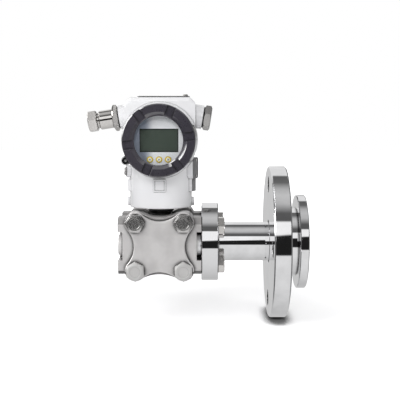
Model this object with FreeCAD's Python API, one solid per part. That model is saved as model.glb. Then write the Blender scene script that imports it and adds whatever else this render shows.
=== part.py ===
import FreeCAD, Part
import math
import os
from FreeCAD import Vector as V

# Differential pressure level transmitter with a flange-mounted diaphragm seal.
# Millimetres.  +X points out of the seal face into the vessel, +Z is up and the
# display looks along -Y.  The origin is the centre of the seal face.

# ---------------------------------------------------------------- driving sizes
# Diaphragm seal and its loose flange
face_d = 102.0            # raised face
face_t = 9.5
shoulder_d = 73.0         # shoulder that the loose flange bears on
shoulder_len = 11.5
foil_d = 59.0             # corrugated diaphragm
foil_t = 0.4
foil_seat = 1.0           # depth of the recess behind the diaphragm
foil_wave = 3.0           # half pitch of the corrugations
flange_d = 165.0
flange_t = 18.0
flange_bore_d = 47.4
flange_pcd = 125.0
flange_hole_d = 18.0
flange_holes = 4
moving_gap = 0.3          # play between a moving piece and its seat
turned_edge = 0.8         # broken edge of turned parts

# Extension tube, fill capillary and adapter flange
tube_d = 42.4
tube_wall = 3.0
tube_len = 73.5
socket_len = 6.0          # spigot inside each end of the tube
capillary_d = 3.0
capillary_bore = 1.2
capillary_seat = 4.0
seat_play = 0.1
adapter_rim = 3.0         # steel left outside the bolt holes
adapter_t = 18.0
port_pitch = 54.0         # between the two process ports
stud_pitch = 41.3         # between the two bolts of one port
port_seal_t = 1.0
port_d = 8.0

# Process covers and measuring capsule
wing_len = 88.0
wing_h = 60.0
cover_t = 26.0
wing_chamfer_h = 6.0
wing_chamfer_t = 5.0
slab_t = 6.0              # raised four-lobed face
bolt_pitch = 50.4
lobe_r = 11.0
hollow_slab = 26.7        # centre line to the bottom of each hollow, front face
hollow_body = 29.7        # the same on the thicker body behind it
slab_round = 1.4
notch_h = 30.0
notch_t = 5.0
notch_floor = 2.0
chamber_d = 46.0
chamber_t = 1.5
gasket_d = 56.0
gasket_w = 3.4
gasket_t = 2.2
capsule_d = 64.6
weld_groove = 2.0
neck_d = 28.0             # sensor neck that carries the housing
neck_thin = 3.0           # how much slimmer the neck is between the covers, on the radius
neck_grip = 17.0          # how far the neck reaches into the housing
neck_ring_rise = 3.0
neck_ring_t = 2.0
lead_pocket = 10.0        # blind hole in the neck's top where the leads come out
end_socket = 8.0
bolt_over = 3.0           # thread showing beyond each nut

# Hexagon fasteners
bolt_d = 12.0
bolt_hex = 18.0
bolt_head = 7.5
bolt_nut = 10.0
stud_d = 10.0
stud_hex = 17.0
stud_head = 6.5
stud_grip = 11.0
stud_slack = 1.4          # tapped depth beyond the screw's tip
hole_clear = 1.0          # on the diameter of a through hole

# Electronics housing
barrel_d = 80.4
barrel_len = 60.0         # full-diameter stretch of the barrel
barrel_taper = 2.2        # how much the barrel slims to each end, on the radius
housing_len = 96.0
axis_rise = 111.0         # barrel axis above the process axis
housing_gap = 2.3         # housing bottom above the cover lobes
stem_d = 67.4             # round stem of the housing
stem_round = 1.5
block_top = 45.4          # flat top above the barrel axis
block_w = 75.4
block_flat = 63.4
block_shoulder = 6.2
block_t = 52.0
block_round = 4.5
wall_t = 3.0
wall_front = 8.0          # front of the dividing wall
thread_wall = 3.9         # barrel end outside the bore that a cover screws into
thread_len = 12.0
bay_step = 1.1            # bay inside that bore, on the radius
stem_wall = 7.0
stem_roof = 6.0
lead_w = 24.0
lead_t = 9.0
lead_front = 22.0

# Conduit entries
entry_tilt = 8.8
entry_reach = 45.5        # boss face from the housing's upright axis
entry_rise = 24.4         # boss centre above the barrel axis
entry_side = 11.0         # boss centre behind the upright axis
entry_boss_d = 26.0
entry_boss_len = 26.0
entry_bore_d = 18.6       # for a 20 mm thread
entry_depth = 34.0

# Side pads, plates and small bosses
pad_turn = 15.0           # right-hand plates face a little to the front
tag_drop = 1.6            # tag pad inside the barrel's full radius
tag_w = 20.0
tag_low = 69.5
tag_high = 92.5
tag_round = 5.0
plate_t = 0.9
side_stand = 3.1          # pads proud of the round stem
side_w = 12.0
side_low = 56.0
side_gap = 0.6
left_stand = 1.6
left_high = 68.6
rivet_d = 2.7
rivet_h = 0.8
rivet_inset = 3.1
earth_boss_d = 13.6
earth_turn = 12.0
earth_stand = 3.9
earth_rise = 77.2
clamp_d = 9.6
clamp_t = 1.0
earth_head_d = 7.6
earth_head_t = 1.8
lug_r = 5.2
lug_clear = 0.3           # lug centre outside the barrel's full radius
lug_angle = -149.0
lug_face = 42.0           # lug face in front of the upright axis
lug_len = 20.0
lock_head_d = 7.2
lock_head_t = 4.0
swivel_boss_d = 9.3
swivel_rise = 6.0         # above the housing bottom
swivel_proud = 2.6
badge_w = 13.1
badge_proud = 0.9
badge_rim = 1.3
badge_rise = 63.4
small_thread = 4.0        # small screws
small_grip = 8.0          # their length below the head
small_hole = 10.0         # depth of their tapped holes
lock_socket = 3.0
swivel_socket = 2.0

# Screwed covers
cap_inset = 0.5           # cover rim inside the barrel end, on the radius
cap_t = 9.0
cap_edge = 1.0
cap_wall = 3.1            # spigot wall outside the glass seat
cap_bevel_start = 8.2     # grip pads, rim to inner bevel, on the radius
cap_face_w = 12.3         # whole ring seen round the window, on the radius
bevel_t = 4.0
lip_t = 1.0
grip_slots = 6
slot_w = 9.0
slot_t = 3.0
slot_edge = 0.5           # broken edge of each slot's mouth
slot_angle = 8.0
spigot_len = 10.0
cover_pitch = 2.0         # thread
ring_section = 1.5        # cover O-ring
ring_back = 1.2           # groove behind the cap
glass_t = 5.0
glass_play = 0.3
window_gasket_t = 0.7
window_gasket_w = 5.0
retainer_t = 1.8
retainer_w = 4.0
rear_face_t = 3.0

# Display side
panel_front = 42.0        # display face in front of the upright axis
panel_t = 1.5
panel_play = 0.8          # display case inside the cover's spigot, on the radius
case_depth = 10.5
case_wall = 1.5
board_t = 1.6
main_board_front = 23.6
main_board_play = 2.0     # main board inside its bay, on the radius
standoff_d = 5.0
standoff_inset = 5.0      # standoff centres inside the main board's edge
standoff_foot = 1.5       # wider foot, on the radius
standoffs = 3
lcd_w = 40.0
lcd_h = 24.1
lcd_inset = 0.2
lcd_play = 0.1
key_d = 6.3
key_pitch = 9.45
key_inset = 10.4          # key row inside the lower edge of the display face
key_proud = 0.8
key_travel = 0.7
key_flange_d = 8.2
key_flange_t = 1.6

# Terminal side
terminal_w = 50.0
terminal_h = 28.0
terminal_t = 12.0
terminals = 3
terminal_pitch = 14.0
barrier_t = 2.0
barrier_h = 7.0
terminal_head_d = 7.0
terminal_head_t = 2.4
terminal_floor = 3.0      # left below the screw holes

# Top cover plate and adjustment buttons
strip_len = 56.0
strip_w = 18.0
strip_round = 3.0
strip_t = 0.8
strip_left = 24.5         # plate end left of the upright axis
strip_side = 13.0         # plate centre line in front of the upright axis
strip_pivot = 4.6         # pivot from the right end of the plate
strip_head_d = 5.4
strip_head_t = 1.7
strip_thread_len = 7.0
button_d = 7.0
button_pitch = 16.0
button_len = 6.8
button_travel = 1.5
button_sink = 0.4

# Cable gland and blanking plug, along the conduit axis
entry_seal_t = 1.0
entry_seal_d = 22.4
entry_thread_len = 12.0
gland_hex = 25.0
gland_hex_turn = 26.0
gland_hex_t = 6.0
gland_barrel_d = 20.7
gland_barrel_len = 15.0
gland_thread_d = 17.0
gland_thread_len = 4.6
gland_gap = 2.5
gland_nut_hex = 21.0
gland_nut_turn = 6.0
gland_nut_len = 10.0
gland_nut_mouth = 1.6
gland_bore_d = 13.0
gland_seal_d = 14.8
gland_seal_len = 12.4
cable_d = 10.0
nut_bore_d = 12.0
slip_ring_t = 1.4
plug_hex = 24.0
plug_wall = 3.0           # of the plug's hollow thread
plug_hex_turn = 41.5
plug_hex_t = 8.0

# ------------------------------------------------------------- derived stations
shoulder_end = face_t + shoulder_len
flange_near = shoulder_end + moving_gap
flange_far = flange_near + flange_t
adapter_near = shoulder_end + tube_len
stud_ring = math.hypot(port_pitch, stud_pitch) / 2
adapter_d = 2 * stud_ring + stud_d + hole_clear + 2 * adapter_rim
adapter_far = adapter_near + adapter_t
post_x = -(adapter_far + wing_len / 2)      # upright axis of housing and sensor
tube_bore = tube_d - 2 * tube_wall
port_y = port_pitch / 2
cover_in = port_y - cover_t / 2             # capsule side of a process cover
cover_out = cover_in + cover_t
port_boss_d = 2 * (port_y - cover_in - notch_floor - seat_play)   # spigot in a cover's notch
slab_out = cover_out + slab_t
housing_z = bolt_pitch / 2 + lobe_r + housing_gap
neck_top = housing_z + neck_grip
joint_y = housing_len / 2                   # joint plane of the screwed covers
barrel_end_d = barrel_d - 2 * barrel_taper
thread_d = barrel_end_d - 2 * thread_wall
bay_d = thread_d - 2 * bay_step
main_board_d = bay_d - 2 * main_board_play
standoff_ring = main_board_d / 2 - standoff_inset
cap_d = barrel_end_d - 2 * cap_inset
cap_inner_d = thread_d - 2 * cap_wall
cap_pad_d = cap_d - 2 * cap_bevel_start
window_d = cap_d - 2 * cap_face_w
panel_d = cap_inner_d - 2 * panel_play
key_drop = panel_d / 2 - key_inset
tag_reach = barrel_d / 2 - tag_drop
side_reach = stem_d / 2 + side_stand
left_reach = stem_d / 2 + left_stand
earth_reach = stem_d / 2 + earth_stand
lug_reach = barrel_d / 2 + lug_clear
top_z = axis_rise + block_top
wall_rear = wall_front - wall_t
cap_back = joint_y + moving_gap
cap_front = cap_back + cap_t
lip_back = cap_front - bevel_t - lip_t
spigot_r = thread_d / 2 - moving_gap
panel_back = panel_front - panel_t
case_back = panel_front - case_depth
board_back = case_back + case_wall
gland_barrel_end = entry_seal_t + gland_hex_t + gland_barrel_len
gland_thread_end = gland_barrel_end + gland_thread_len
gland_nut_start = gland_barrel_end + gland_gap
gland_end = gland_nut_start + gland_nut_len
slip_ring_start = gland_thread_end + moving_gap
slip_ring_end = slip_ring_start + slip_ring_t


# -------------------------------------------------------------------- reference
def frame(origin, z_dir, x_dir):
    """Placement with its Z along z_dir and its X along x_dir."""
    z = V(z_dir).normalize()
    x = V(x_dir).normalize()
    y = z.cross(x)
    return FreeCAD.Placement(FreeCAD.Matrix(
        x.x, y.x, z.x, origin.x,
        x.y, y.y, z.y, origin.y,
        x.z, y.z, z.z, origin.z,
        0, 0, 0, 1))


def entry_frame(side):
    """Frame on a conduit boss: Z out along the tilted entry; side -1 left, +1 right."""
    tilt = math.radians(entry_tilt)
    origin = V(post_x + side * entry_reach, entry_side, axis_rise + entry_rise)
    return frame(origin, V(side * math.cos(tilt), 0, -math.sin(tilt)), V(0, 1, 0))


def side_frame(bearing):
    """Frame on the upright axis: Z outwards at a bearing from +X to +Y, local Y up."""
    a = math.radians(bearing)
    return frame(V(post_x, 0, 0), V(math.cos(a), math.sin(a), 0), V(-math.sin(a), math.cos(a), 0))


SEAL = frame(V(0, 0, 0), V(-1, 0, 0), V(0, 1, 0))           # Z from the seal inwards
POST = frame(V(post_x, 0, 0), V(0, 0, 1), V(1, 0, 0))
FRONT = frame(V(post_x, 0, axis_rise), V(0, -1, 0), V(1, 0, 0))
REAR = frame(V(post_x, 0, axis_rise), V(0, 1, 0), V(-1, 0, 0))
CAPSULE = frame(V(post_x, 0, 0), V(0, -1, 0), V(1, 0, 0))
RIGHT = side_frame(-pad_turn)
LEFT = side_frame(180)
EARTH = side_frame(180 + earth_turn)
GLAND = entry_frame(-1)
PLUG = entry_frame(1)


# --------------------------------------------------------------- shape builders
def placed(shape, place):
    """The shape moved from a local frame into the row frame."""
    return shape.transformed(place.toMatrix())


def turned(profile, place):
    """Solid of revolution about local Z from a closed (z, radius) profile."""
    points = [V(radius, 0, z) for z, radius in profile]
    face = Part.Face(Part.makePolygon(points + points[:1]))
    return placed(face.revolve(V(0, 0, 0), V(0, 0, 1), 360), place)


def rod(radius, start, end, place, x=0.0, y=0.0):
    """Round bar along local Z."""
    return placed(Part.makeCylinder(radius, end - start, V(x, y, start)), place)


def washer(outer, inner, start, end, place, x=0.0, y=0.0):
    """Flat ring along local Z, by radii."""
    return rod(outer, start, end, place, x, y).cut(rod(inner, start, end, place, x, y))


def slab(x0, x1, y0, y1, z0, z1, place=None):
    """Rectangular block between two corners."""
    box = Part.makeBox(x1 - x0, y1 - y0, z1 - z0, V(x0, y0, z0))
    return placed(box, place) if place else box


def hexagon(flats, start, end, place, x=0.0, y=0.0, turn=0.0, ends=(True, True)):
    """Hexagonal bar with its corners chamfered on the chosen ends."""
    corner = flats / math.sqrt(3)
    angles = [math.radians(turn + 60 * k) for k in range(7)]
    points = [V(x + corner * math.cos(a), y + corner * math.sin(a), start) for a in angles]
    bar = Part.Face(Part.makePolygon(points)).extrude(V(0, 0, end - start))
    drop = (corner - flats * 0.47) * 0.58
    low = flats * 0.47 if ends[0] else corner
    high = flats * 0.47 if ends[1] else corner
    profile = [(start, 0), (start, low), (start + drop, corner + 0.01),
               (end - drop, corner + 0.01), (end, high), (end, 0)]
    hull = turned(profile, frame(V(x, y, 0), V(0, 0, 1), V(1, 0, 0)))
    return placed(bar.common(hull), place)


def square_corners(half_x, half_y):
    """Four points at the corners of a rectangle."""
    return [(sx * half_x, sy * half_y) for sx in (-1, 1) for sy in (-1, 1)]


def export(name, *shapes):
    """Write one node; several solids stay separate in it."""
    solids = [solid for shape in shapes for solid in shape.Solids]
    node = solids[0] if len(solids) == 1 else Part.makeCompound(solids)
    node.exportStep(os.path.join("parts", name + ".step"))


# --------------------------------------------------------------- diaphragm seal
def make_seal_body():
    """Raised face, shoulder and tube spigot turned from one bar."""
    face_r = face_d / 2
    shoulder_r = shoulder_d / 2
    edge = turned_edge
    bore_r = capillary_d / 2 + seat_play
    tail = shoulder_end + socket_len
    return turned([
        (foil_seat, bore_r), (foil_seat, foil_d / 2), (0, foil_d / 2),
        (0, face_r - edge), (edge, face_r), (face_t - edge, face_r), (face_t, face_r - edge),
        (face_t, shoulder_r), (shoulder_end - edge, shoulder_r),
        (shoulder_end, shoulder_r - edge), (shoulder_end, tube_bore / 2),
        (tail, tube_bore / 2), (tail, bore_r)], SEAL)


def make_seal_diaphragm():
    """Thin foil with concentric waves, welded in the recess of the raised face."""
    rim_r = foil_d / 2
    waves = int((rim_r - 2 * foil_wave) / foil_wave / 2)
    sag = foil_seat - foil_t - 0.1
    crest = [(0.0, 0.0), (0.0, foil_wave)]
    for k in range(waves):
        crest.append((sag, foil_wave * (2 * k + 2)))
        crest.append((0.0, foil_wave * (2 * k + 3)))
    back = [(z + foil_t, r) for z, r in reversed(crest)]
    return turned(crest + [(0.0, rim_r), (foil_seat, rim_r), (foil_seat, crest[-1][1] + foil_t)]
                  + back, SEAL)


def make_mounting_flange():
    """Loose backing flange that turns on the tube behind the shoulder."""
    rim = flange_d / 2
    bore = flange_bore_d / 2
    edge = 1.5 * turned_edge
    disc = turned([
        (flange_near, bore), (flange_near, rim - edge), (flange_near + edge, rim),
        (flange_far - edge, rim), (flange_far, rim - edge), (flange_far, bore + edge / 2),
        (flange_far - edge / 2, bore)], SEAL)
    holes = []
    for k in range(flange_holes):
        a = 2 * math.pi * k / flange_holes
        x, y = flange_pcd / 2 * math.cos(a), flange_pcd / 2 * math.sin(a)
        holes.append(rod(flange_hole_d / 2, flange_near - 1, flange_far + 1, SEAL, x, y))
    return disc.cut(holes)


def make_extension_tube():
    """Polished tube between seal shoulder and adapter flange."""
    return washer(tube_d / 2, tube_bore / 2, shoulder_end, adapter_near, SEAL)


def make_capillary():
    """Oil-filled capillary inside the extension tube."""
    start = shoulder_end + socket_len - capillary_seat
    end = adapter_near - socket_len + capillary_seat
    return washer(capillary_d / 2, capillary_bore / 2, start, end, SEAL)


def make_adapter_flange():
    """Round flange that joins the extension to the ports of both process covers."""
    rim = adapter_d / 2
    edge = turned_edge
    tip = adapter_near - socket_len
    seat_r = capillary_d / 2 + seat_play
    turn_in = adapter_near + adapter_t / 2
    link_r = seat_r * 0.75
    body = turned([
        (tip, seat_r), (tip, tube_bore / 2), (adapter_near, tube_bore / 2),
        (adapter_near, rim - edge), (adapter_near + edge, rim), (adapter_far - edge, rim),
        (adapter_far, rim - edge), (adapter_far, 0), (turn_in, 0), (turn_in, seat_r)], SEAL)
    boss_end = adapter_far + notch_t - port_seal_t
    bosses = [rod(port_boss_d / 2, adapter_far - edge, boss_end, SEAL, side * port_y)
              for side in (-1, 1)]
    holes = [rod((stud_d + hole_clear) / 2, adapter_near - 1, adapter_far + 1, SEAL, x, y)
             for x, y in square_corners(port_y, stud_pitch / 2)]
    ports = [rod(port_d / 2, turn_in - 2 * seat_r, boss_end + 1, SEAL, side * port_y)
             for side in (-1, 1)]
    # the seal works on the display-side cover, so its port alone is joined to the capillary
    link = Part.makeCylinder(link_r, port_y, V(0, 0, turn_in - seat_r), V(-1, 0, 0))
    return body.fuse(bosses).cut(holes + ports + [placed(link, SEAL)]).removeSplitter()


def make_adapter_bolts():
    """Four hexagon screws from the adapter into the ends of the process covers."""
    bolts = []
    for x, y in square_corners(port_y, stud_pitch / 2):
        shank = rod(stud_d / 2, adapter_near - 0.5, adapter_far + stud_grip, SEAL, x, y)
        head = hexagon(stud_hex, adapter_near - stud_head, adapter_near, SEAL, x, y,
                       ends=(True, False))
        bolts.append(head.fuse(shank))
    return bolts


def make_port_seals():
    """PTFE ring between each adapter spigot and the floor of the cover's notch."""
    start = adapter_far + notch_t - port_seal_t
    return [washer(port_boss_d / 2, port_d / 2, start, start + port_seal_t, SEAL, side * port_y)
            for side in (-1, 1)]


# --------------------------------------------------- process covers and capsule
def star_face(hollow, y):
    """Four bolt lobes joined by four tangent hollows, in a plane of constant Y."""
    c = bolt_pitch / 2
    gap = hollow - c
    sweep = (c * c + gap * gap - lobe_r ** 2) / (2 * (lobe_r - gap))
    reach = math.hypot(c, hollow + sweep - c)
    toward = (-c * lobe_r / reach, (hollow + sweep - c) * lobe_r / reach)
    corner = lobe_r / math.sqrt(2)
    quarter = [(c + toward[1], c + toward[0]), (c + corner, c + corner),
               (c + toward[0], c + toward[1]), (0.0, hollow)]

    def spun(point, turns):
        x, z = point
        for _ in range(turns):
            x, z = -z, x
        return V(post_x + x, y, z)

    edges = []
    for k in range(4):
        a, b, d, h = [spun(point, k) for point in quarter]
        edges.append(Part.Arc(a, b, d).toShape())
        edges.append(Part.Arc(d, h, spun(quarter[0], k + 1)).toShape())
    return Part.Face(Part.Wire(edges))


def make_process_cover():
    """Cast cover on the display side: winged body with a raised four-lobed face."""
    half_l, half_h = wing_len / 2, wing_h / 2
    section = [(-cover_in, -half_h), (-cover_in, half_h), (wing_chamfer_t - cover_out, half_h),
               (-cover_out, half_h - wing_chamfer_h), (-cover_out, wing_chamfer_h - half_h),
               (wing_chamfer_t - cover_out, -half_h)]
    points = [V(post_x - half_l, y, z) for y, z in section]
    wings = Part.Face(Part.makePolygon(points + points[:1])).extrude(V(wing_len, 0, 0))
    body = star_face(hollow_body, -cover_out).extrude(V(0, cover_t, 0))
    raised = star_face(hollow_slab, -slab_out).extrude(V(0, slab_t, 0))
    rim = [e for e in raised.Edges if e.BoundBox.YMax < -slab_out + 0.01]
    raised = raised.makeFillet(slab_round, rim)
    cover = wings.fuse([body, raised]).removeSplitter()
    return cover.cut(process_cover_cuts())


def process_cover_cuts():
    """End notches, ports, tapped holes, chamber, gasket groove and bolt holes of a cover."""
    half_l = wing_len / 2
    cuts = []
    for side in (-1, 1):
        near, far = sorted((post_x + side * (half_l - notch_t), post_x + side * (half_l + 1)))
        cuts.append(slab(near, far, -slab_out - 1, -cover_in - notch_floor,
                         -notch_h / 2, notch_h / 2))
        seat = V(post_x + side * (half_l - notch_t + 1), -port_y, 0)
        depth = half_l - notch_t - chamber_d / 4 + 1
        cuts.append(Part.makeCylinder(port_d / 2, depth, seat, V(-side, 0, 0)))
        inner = V(post_x + side * chamber_d / 4, -port_y, 0)
        cuts.append(Part.makeCylinder(port_d / 2, port_y - cover_in + 1, inner, V(0, 1, 0)))
        for z in (-stud_pitch / 2, stud_pitch / 2):
            mouth = V(post_x + side * (half_l + 1), -port_y, z)
            cuts.append(Part.makeCylinder(stud_d / 2, stud_grip + stud_slack, mouth, V(-side, 0, 0)))
    cuts.append(rod(chamber_d / 2, cover_in - 1, cover_in + chamber_t, CAPSULE))
    cuts.append(washer(gasket_d / 2, gasket_d / 2 - gasket_w, cover_in - 1, cover_in + gasket_t,
                       CAPSULE))
    for x, z in square_corners(bolt_pitch / 2, bolt_pitch / 2):
        cuts.append(rod((bolt_d + hole_clear) / 2, cover_in - 1, slab_out + 1, CAPSULE, x, z))
    return cuts


def make_process_gaskets():
    """One flat PTFE ring in the groove of each cover."""
    outer, inner = gasket_d / 2, gasket_d / 2 - gasket_w
    return [washer(outer, inner, cover_in, cover_in + gasket_t, CAPSULE),
            washer(outer, inner, -cover_in - gasket_t, -cover_in, CAPSULE)]


def make_sensor_module():
    """Welded measuring capsule with its neck; corrugated foils on both faces."""
    r = capsule_d / 2
    groove = weld_groove / 2
    edge = turned_edge
    wave_r = chamber_d / 2 - 2
    half = [(groove, r - groove), (groove * 2, r), (cover_in - edge, r), (cover_in, r - edge)]
    ripples = [(cover_in - 0.5 * (k % 2), wave_r - foil_wave * k) for k in range(5)]
    side = half + ripples + [(cover_in, 0)]
    capsule = turned(side + [(-z, radius) for z, radius in reversed(side)], CAPSULE)
    reliefs = [rod((bolt_d + hole_clear) / 2, -cover_in - 1, cover_in + 1, CAPSULE, x, z)
               for x, z in square_corners(bolt_pitch / 2, bolt_pitch / 2)]
    neck_r = neck_d / 2
    thin_r = neck_r - neck_thin
    flare = hollow_body + 2
    ring_z = housing_z + neck_ring_rise
    ring_r = neck_r - ring_section
    pocket = neck_r / 2
    neck = turned([
        (0, 0), (0, thin_r), (flare, thin_r), (flare + neck_thin, neck_r),
        (ring_z, neck_r), (ring_z, ring_r), (ring_z + neck_ring_t, ring_r),
        (ring_z + neck_ring_t, neck_r), (neck_top - edge, neck_r), (neck_top, neck_r - edge),
        (neck_top, pocket), (neck_top - lead_pocket, pocket), (neck_top - lead_pocket, 0)], POST)
    return capsule.cut(reliefs).fuse(neck).removeSplitter()


def round_ring(inner, outer, start, end, place):
    """O-ring with rounded outer corners, seated on the floor of its groove."""
    soft = (end - start) / 3
    return turned([(start, inner), (start, outer - soft), (start + soft, outer),
                   (end - soft, outer), (end, outer - soft), (end, inner)], place)


def make_neck_ring():
    """O-ring in the groove of the sensor neck."""
    ring_z = housing_z + neck_ring_rise
    neck_r = neck_d / 2
    return round_ring(neck_r - ring_section, neck_r + seat_play, ring_z, ring_z + neck_ring_t, POST)


def make_process_bolts():
    """Four hexagon bolts right through both covers."""
    bolts = []
    for x, z in square_corners(bolt_pitch / 2, bolt_pitch / 2):
        shank = rod(bolt_d / 2, -slab_out - bolt_nut - bolt_over, slab_out + 0.5, CAPSULE, x, z)
        head = hexagon(bolt_hex, slab_out, slab_out + bolt_head, CAPSULE, x, z,
                       turn=0 if z > 0 else 30, ends=(False, True))
        bolts.append(head.fuse(shank))
    return bolts


def make_process_nuts():
    """Nuts on the far side of the rear cover."""
    start, end = -slab_out - bolt_nut, -slab_out
    nuts = []
    for x, z in square_corners(bolt_pitch / 2, bolt_pitch / 2):
        nut = hexagon(bolt_hex, start, end, CAPSULE, x, z, turn=20)
        nuts.append(nut.cut(rod(bolt_d / 2, start - 1, end + 1, CAPSULE, x, z)))
    return nuts


def make_end_plugs():
    """Round blanking plugs with a hexagon socket in the free ends of both covers."""
    plugs = []
    seat = wing_len / 2 - notch_t
    end = wing_len / 2
    rim = port_boss_d / 2
    for y in (-port_y, port_y):
        place = frame(V(post_x, y, 0), V(-1, 0, 0), V(0, 1, 0))
        head = turned([(seat, 0), (seat, rim), (end - turned_edge, rim),
                       (end, rim - turned_edge), (end, 0)], place)
        stem = rod(port_d / 2, seat - port_d, seat + 1, place)
        socket = hexagon(end_socket, seat + 1, end + 1, place, ends=(False, False))
        plugs.append(head.fuse(stem).cut(socket))
    return plugs


# ---------------------------------------------------------- electronics housing
def housing_outside():
    """Outer form of the casting: stem, barrel, top block, conduit bosses and pads."""
    stem = rod(stem_d / 2, housing_z, axis_rise, POST)
    foot = [e for e in stem.Edges if e.BoundBox.ZMax < housing_z + 0.01]
    stem = stem.makeFillet(stem_round, foot)
    full, end_r = barrel_len / 2, barrel_end_d / 2
    half = [(full, barrel_d / 2), (joint_y - turned_edge, end_r), (joint_y, end_r - turned_edge),
            (joint_y, 0)]
    barrel = turned([(-z, r) for z, r in reversed(half)] + half, FRONT)
    outline = [(-block_w / 2, 0), (-block_w / 2, block_top - block_shoulder),
               (-block_flat / 2, block_top), (block_flat / 2, block_top),
               (block_w / 2, block_top - block_shoulder), (block_w / 2, 0)]
    points = [V(x, y, -block_t / 2) for x, y in outline]
    block = Part.Face(Part.makePolygon(points + points[:1])).extrude(V(0, 0, block_t))
    rim = [e for e in block.Edges if e.BoundBox.YMin > 1]
    block = placed(block.makeFillet(block_round, rim), FRONT)
    bosses = [rod(entry_boss_d / 2, -entry_boss_len, 0, entry_frame(side)) for side in (-1, 1)]
    return stem.fuse([barrel, block] + bosses + side_bosses())


def oblong(width, low, high, start, end, place):
    """Upright plate or pad with rounded corners."""
    bar = slab(-width / 2, width / 2, low, high, start, end)
    corners = [e for e in bar.Edges if e.BoundBox.ZLength > (end - start) / 2]
    return placed(bar.makeFillet(tag_round, corners), place)


def side_bosses():
    """Plate pads, earth boss, cover-lock lugs, swivel-screw bosses and a bare badge frame."""
    root = stem_d / 4
    tag = oblong(tag_w, tag_low, tag_high, root, tag_reach, RIGHT)
    strip = slab(-side_w / 2, side_w / 2, side_low, tag_low, root, side_reach, RIGHT)
    left = slab(-side_w, side_w, side_low, left_high, root, left_reach, LEFT)
    earth = rod(earth_boss_d / 2, root, earth_reach, EARTH, y=earth_rise)
    lugs = [rod(lug_r, lug_face - lug_len, lug_face, place, *lug_centre(place))
            for place in (FRONT, REAR)]
    swivel = [rod(swivel_boss_d / 2, root, stem_d / 2 + swivel_proud, place,
                  y=housing_z + swivel_rise) for place in (LEFT, side_frame(0))]
    half = badge_w / 2
    face = -stem_d / 2 - badge_proud
    badge = slab(post_x - half, post_x + half, face, -root, badge_rise - half, badge_rise + half)
    inner = half - badge_rim
    field = slab(post_x - inner, post_x + inner, face - 1, face + badge_proud,
                 badge_rise - inner, badge_rise + inner)
    return [tag, strip, left, earth, badge.cut(field)] + lugs + swivel


def lug_centre(place):
    """Lug centre beside a screwed cover; both lugs stand on the same side of the housing."""
    a = math.radians(lug_angle)
    toward = 1 if place is FRONT else -1
    return toward * lug_reach * math.cos(a), lug_reach * math.sin(a)


def make_housing():
    """Die-cast two-bay housing with its bores, bays and screw holes."""
    cuts = []
    for place in (FRONT, REAR):
        cuts.append(rod(thread_d / 2, joint_y - thread_len, joint_y + 1, place))
        cuts.append(rod(small_thread / 2, lug_face - small_hole, lug_face + 1, place,
                        *lug_centre(place)))
        # spot face that lets the head of the cover-lock screw in beside the barrel's end
        cuts.append(rod(lock_head_d / 2 + moving_gap, lug_face, joint_y + 1, place,
                        *lug_centre(place)))
    cuts.append(rod(bay_d / 2, wall_front, joint_y, FRONT))
    cuts.append(rod(bay_d / 2, -wall_rear, joint_y, REAR))
    cuts.append(rod(neck_d / 2 + moving_gap, housing_z - 1, neck_top + 1, POST))
    room_top = axis_rise - bay_d / 2 - stem_roof
    cuts.append(rod(stem_d / 2 - stem_wall, neck_top + moving_gap, room_top, POST))
    cuts.append(slab(post_x - lead_w / 2, post_x + lead_w / 2, -lead_front, lead_t - lead_front,
                     room_top - 1, axis_rise - bay_d / 2 + stem_roof))
    for place in (GLAND, PLUG):
        cuts.append(rod(entry_bore_d / 2, -entry_depth, 1, place))
    cuts.append(rod(small_thread / 2, earth_reach - small_hole, earth_reach + 1, EARTH,
                    y=earth_rise))
    for place in (LEFT, side_frame(0)):
        cuts.append(rod(small_thread / 2, 1, stem_d, place, y=housing_z + swivel_rise))
    cuts.append(rod(small_thread / 2, top_z - strip_thread_len, top_z + 1, POST,
                    strip_pivot_x(), -strip_side))
    for x in (-button_pitch / 2, button_pitch / 2):
        floor = top_z - button_sink - button_len - 2 * button_travel
        cuts.append(rod(button_d / 2 + moving_gap, floor, top_z + 1, POST, x, -strip_side))
    return housing_outside().cut(cuts).removeSplitter()


def strip_pivot_x():
    """Pivot of the top plate, from the upright axis."""
    return strip_len - strip_left - strip_pivot


def make_swivel_screws():
    """Set screws that lock the housing on the sensor neck; their tips stand just off it."""
    tip = neck_d / 2 + 2 * moving_gap
    end = stem_d / 2 + swivel_proud - 1
    screws = []
    for place in (LEFT, side_frame(0)):
        screw = rod(small_thread / 2, tip, end, place, y=housing_z + swivel_rise)
        socket = hexagon(swivel_socket, end - 2, end + 1, place, y=housing_z + swivel_rise,
                         ends=(False, False))
        screws.append(screw.cut(socket))
    return screws


# -------------------------------------------------------------- screwed covers
def cap_slots(place):
    """Six finger slots across the front of a cover, their mouths broken at 45 degrees."""
    half = slot_w / 2
    wide = half + slot_edge + 1
    section = [(-half, cap_front - slot_t), (half, cap_front - slot_t),
               (half, cap_front - slot_edge), (wide, cap_front + 1), (-wide, cap_front + 1),
               (-half, cap_front - slot_edge)]
    points = [V(cap_pad_d / 4, y, z) for y, z in section]
    bar = Part.Face(Part.makePolygon(points + points[:1])).extrude(V(cap_d, 0, 0))
    slots = []
    for k in range(grip_slots):
        turn = FreeCAD.Placement(V(0, 0, 0), V(0, 0, 1), slot_angle + 360 / grip_slots * k)
        slots.append(placed(placed(bar, turn), place))
    return slots


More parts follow.
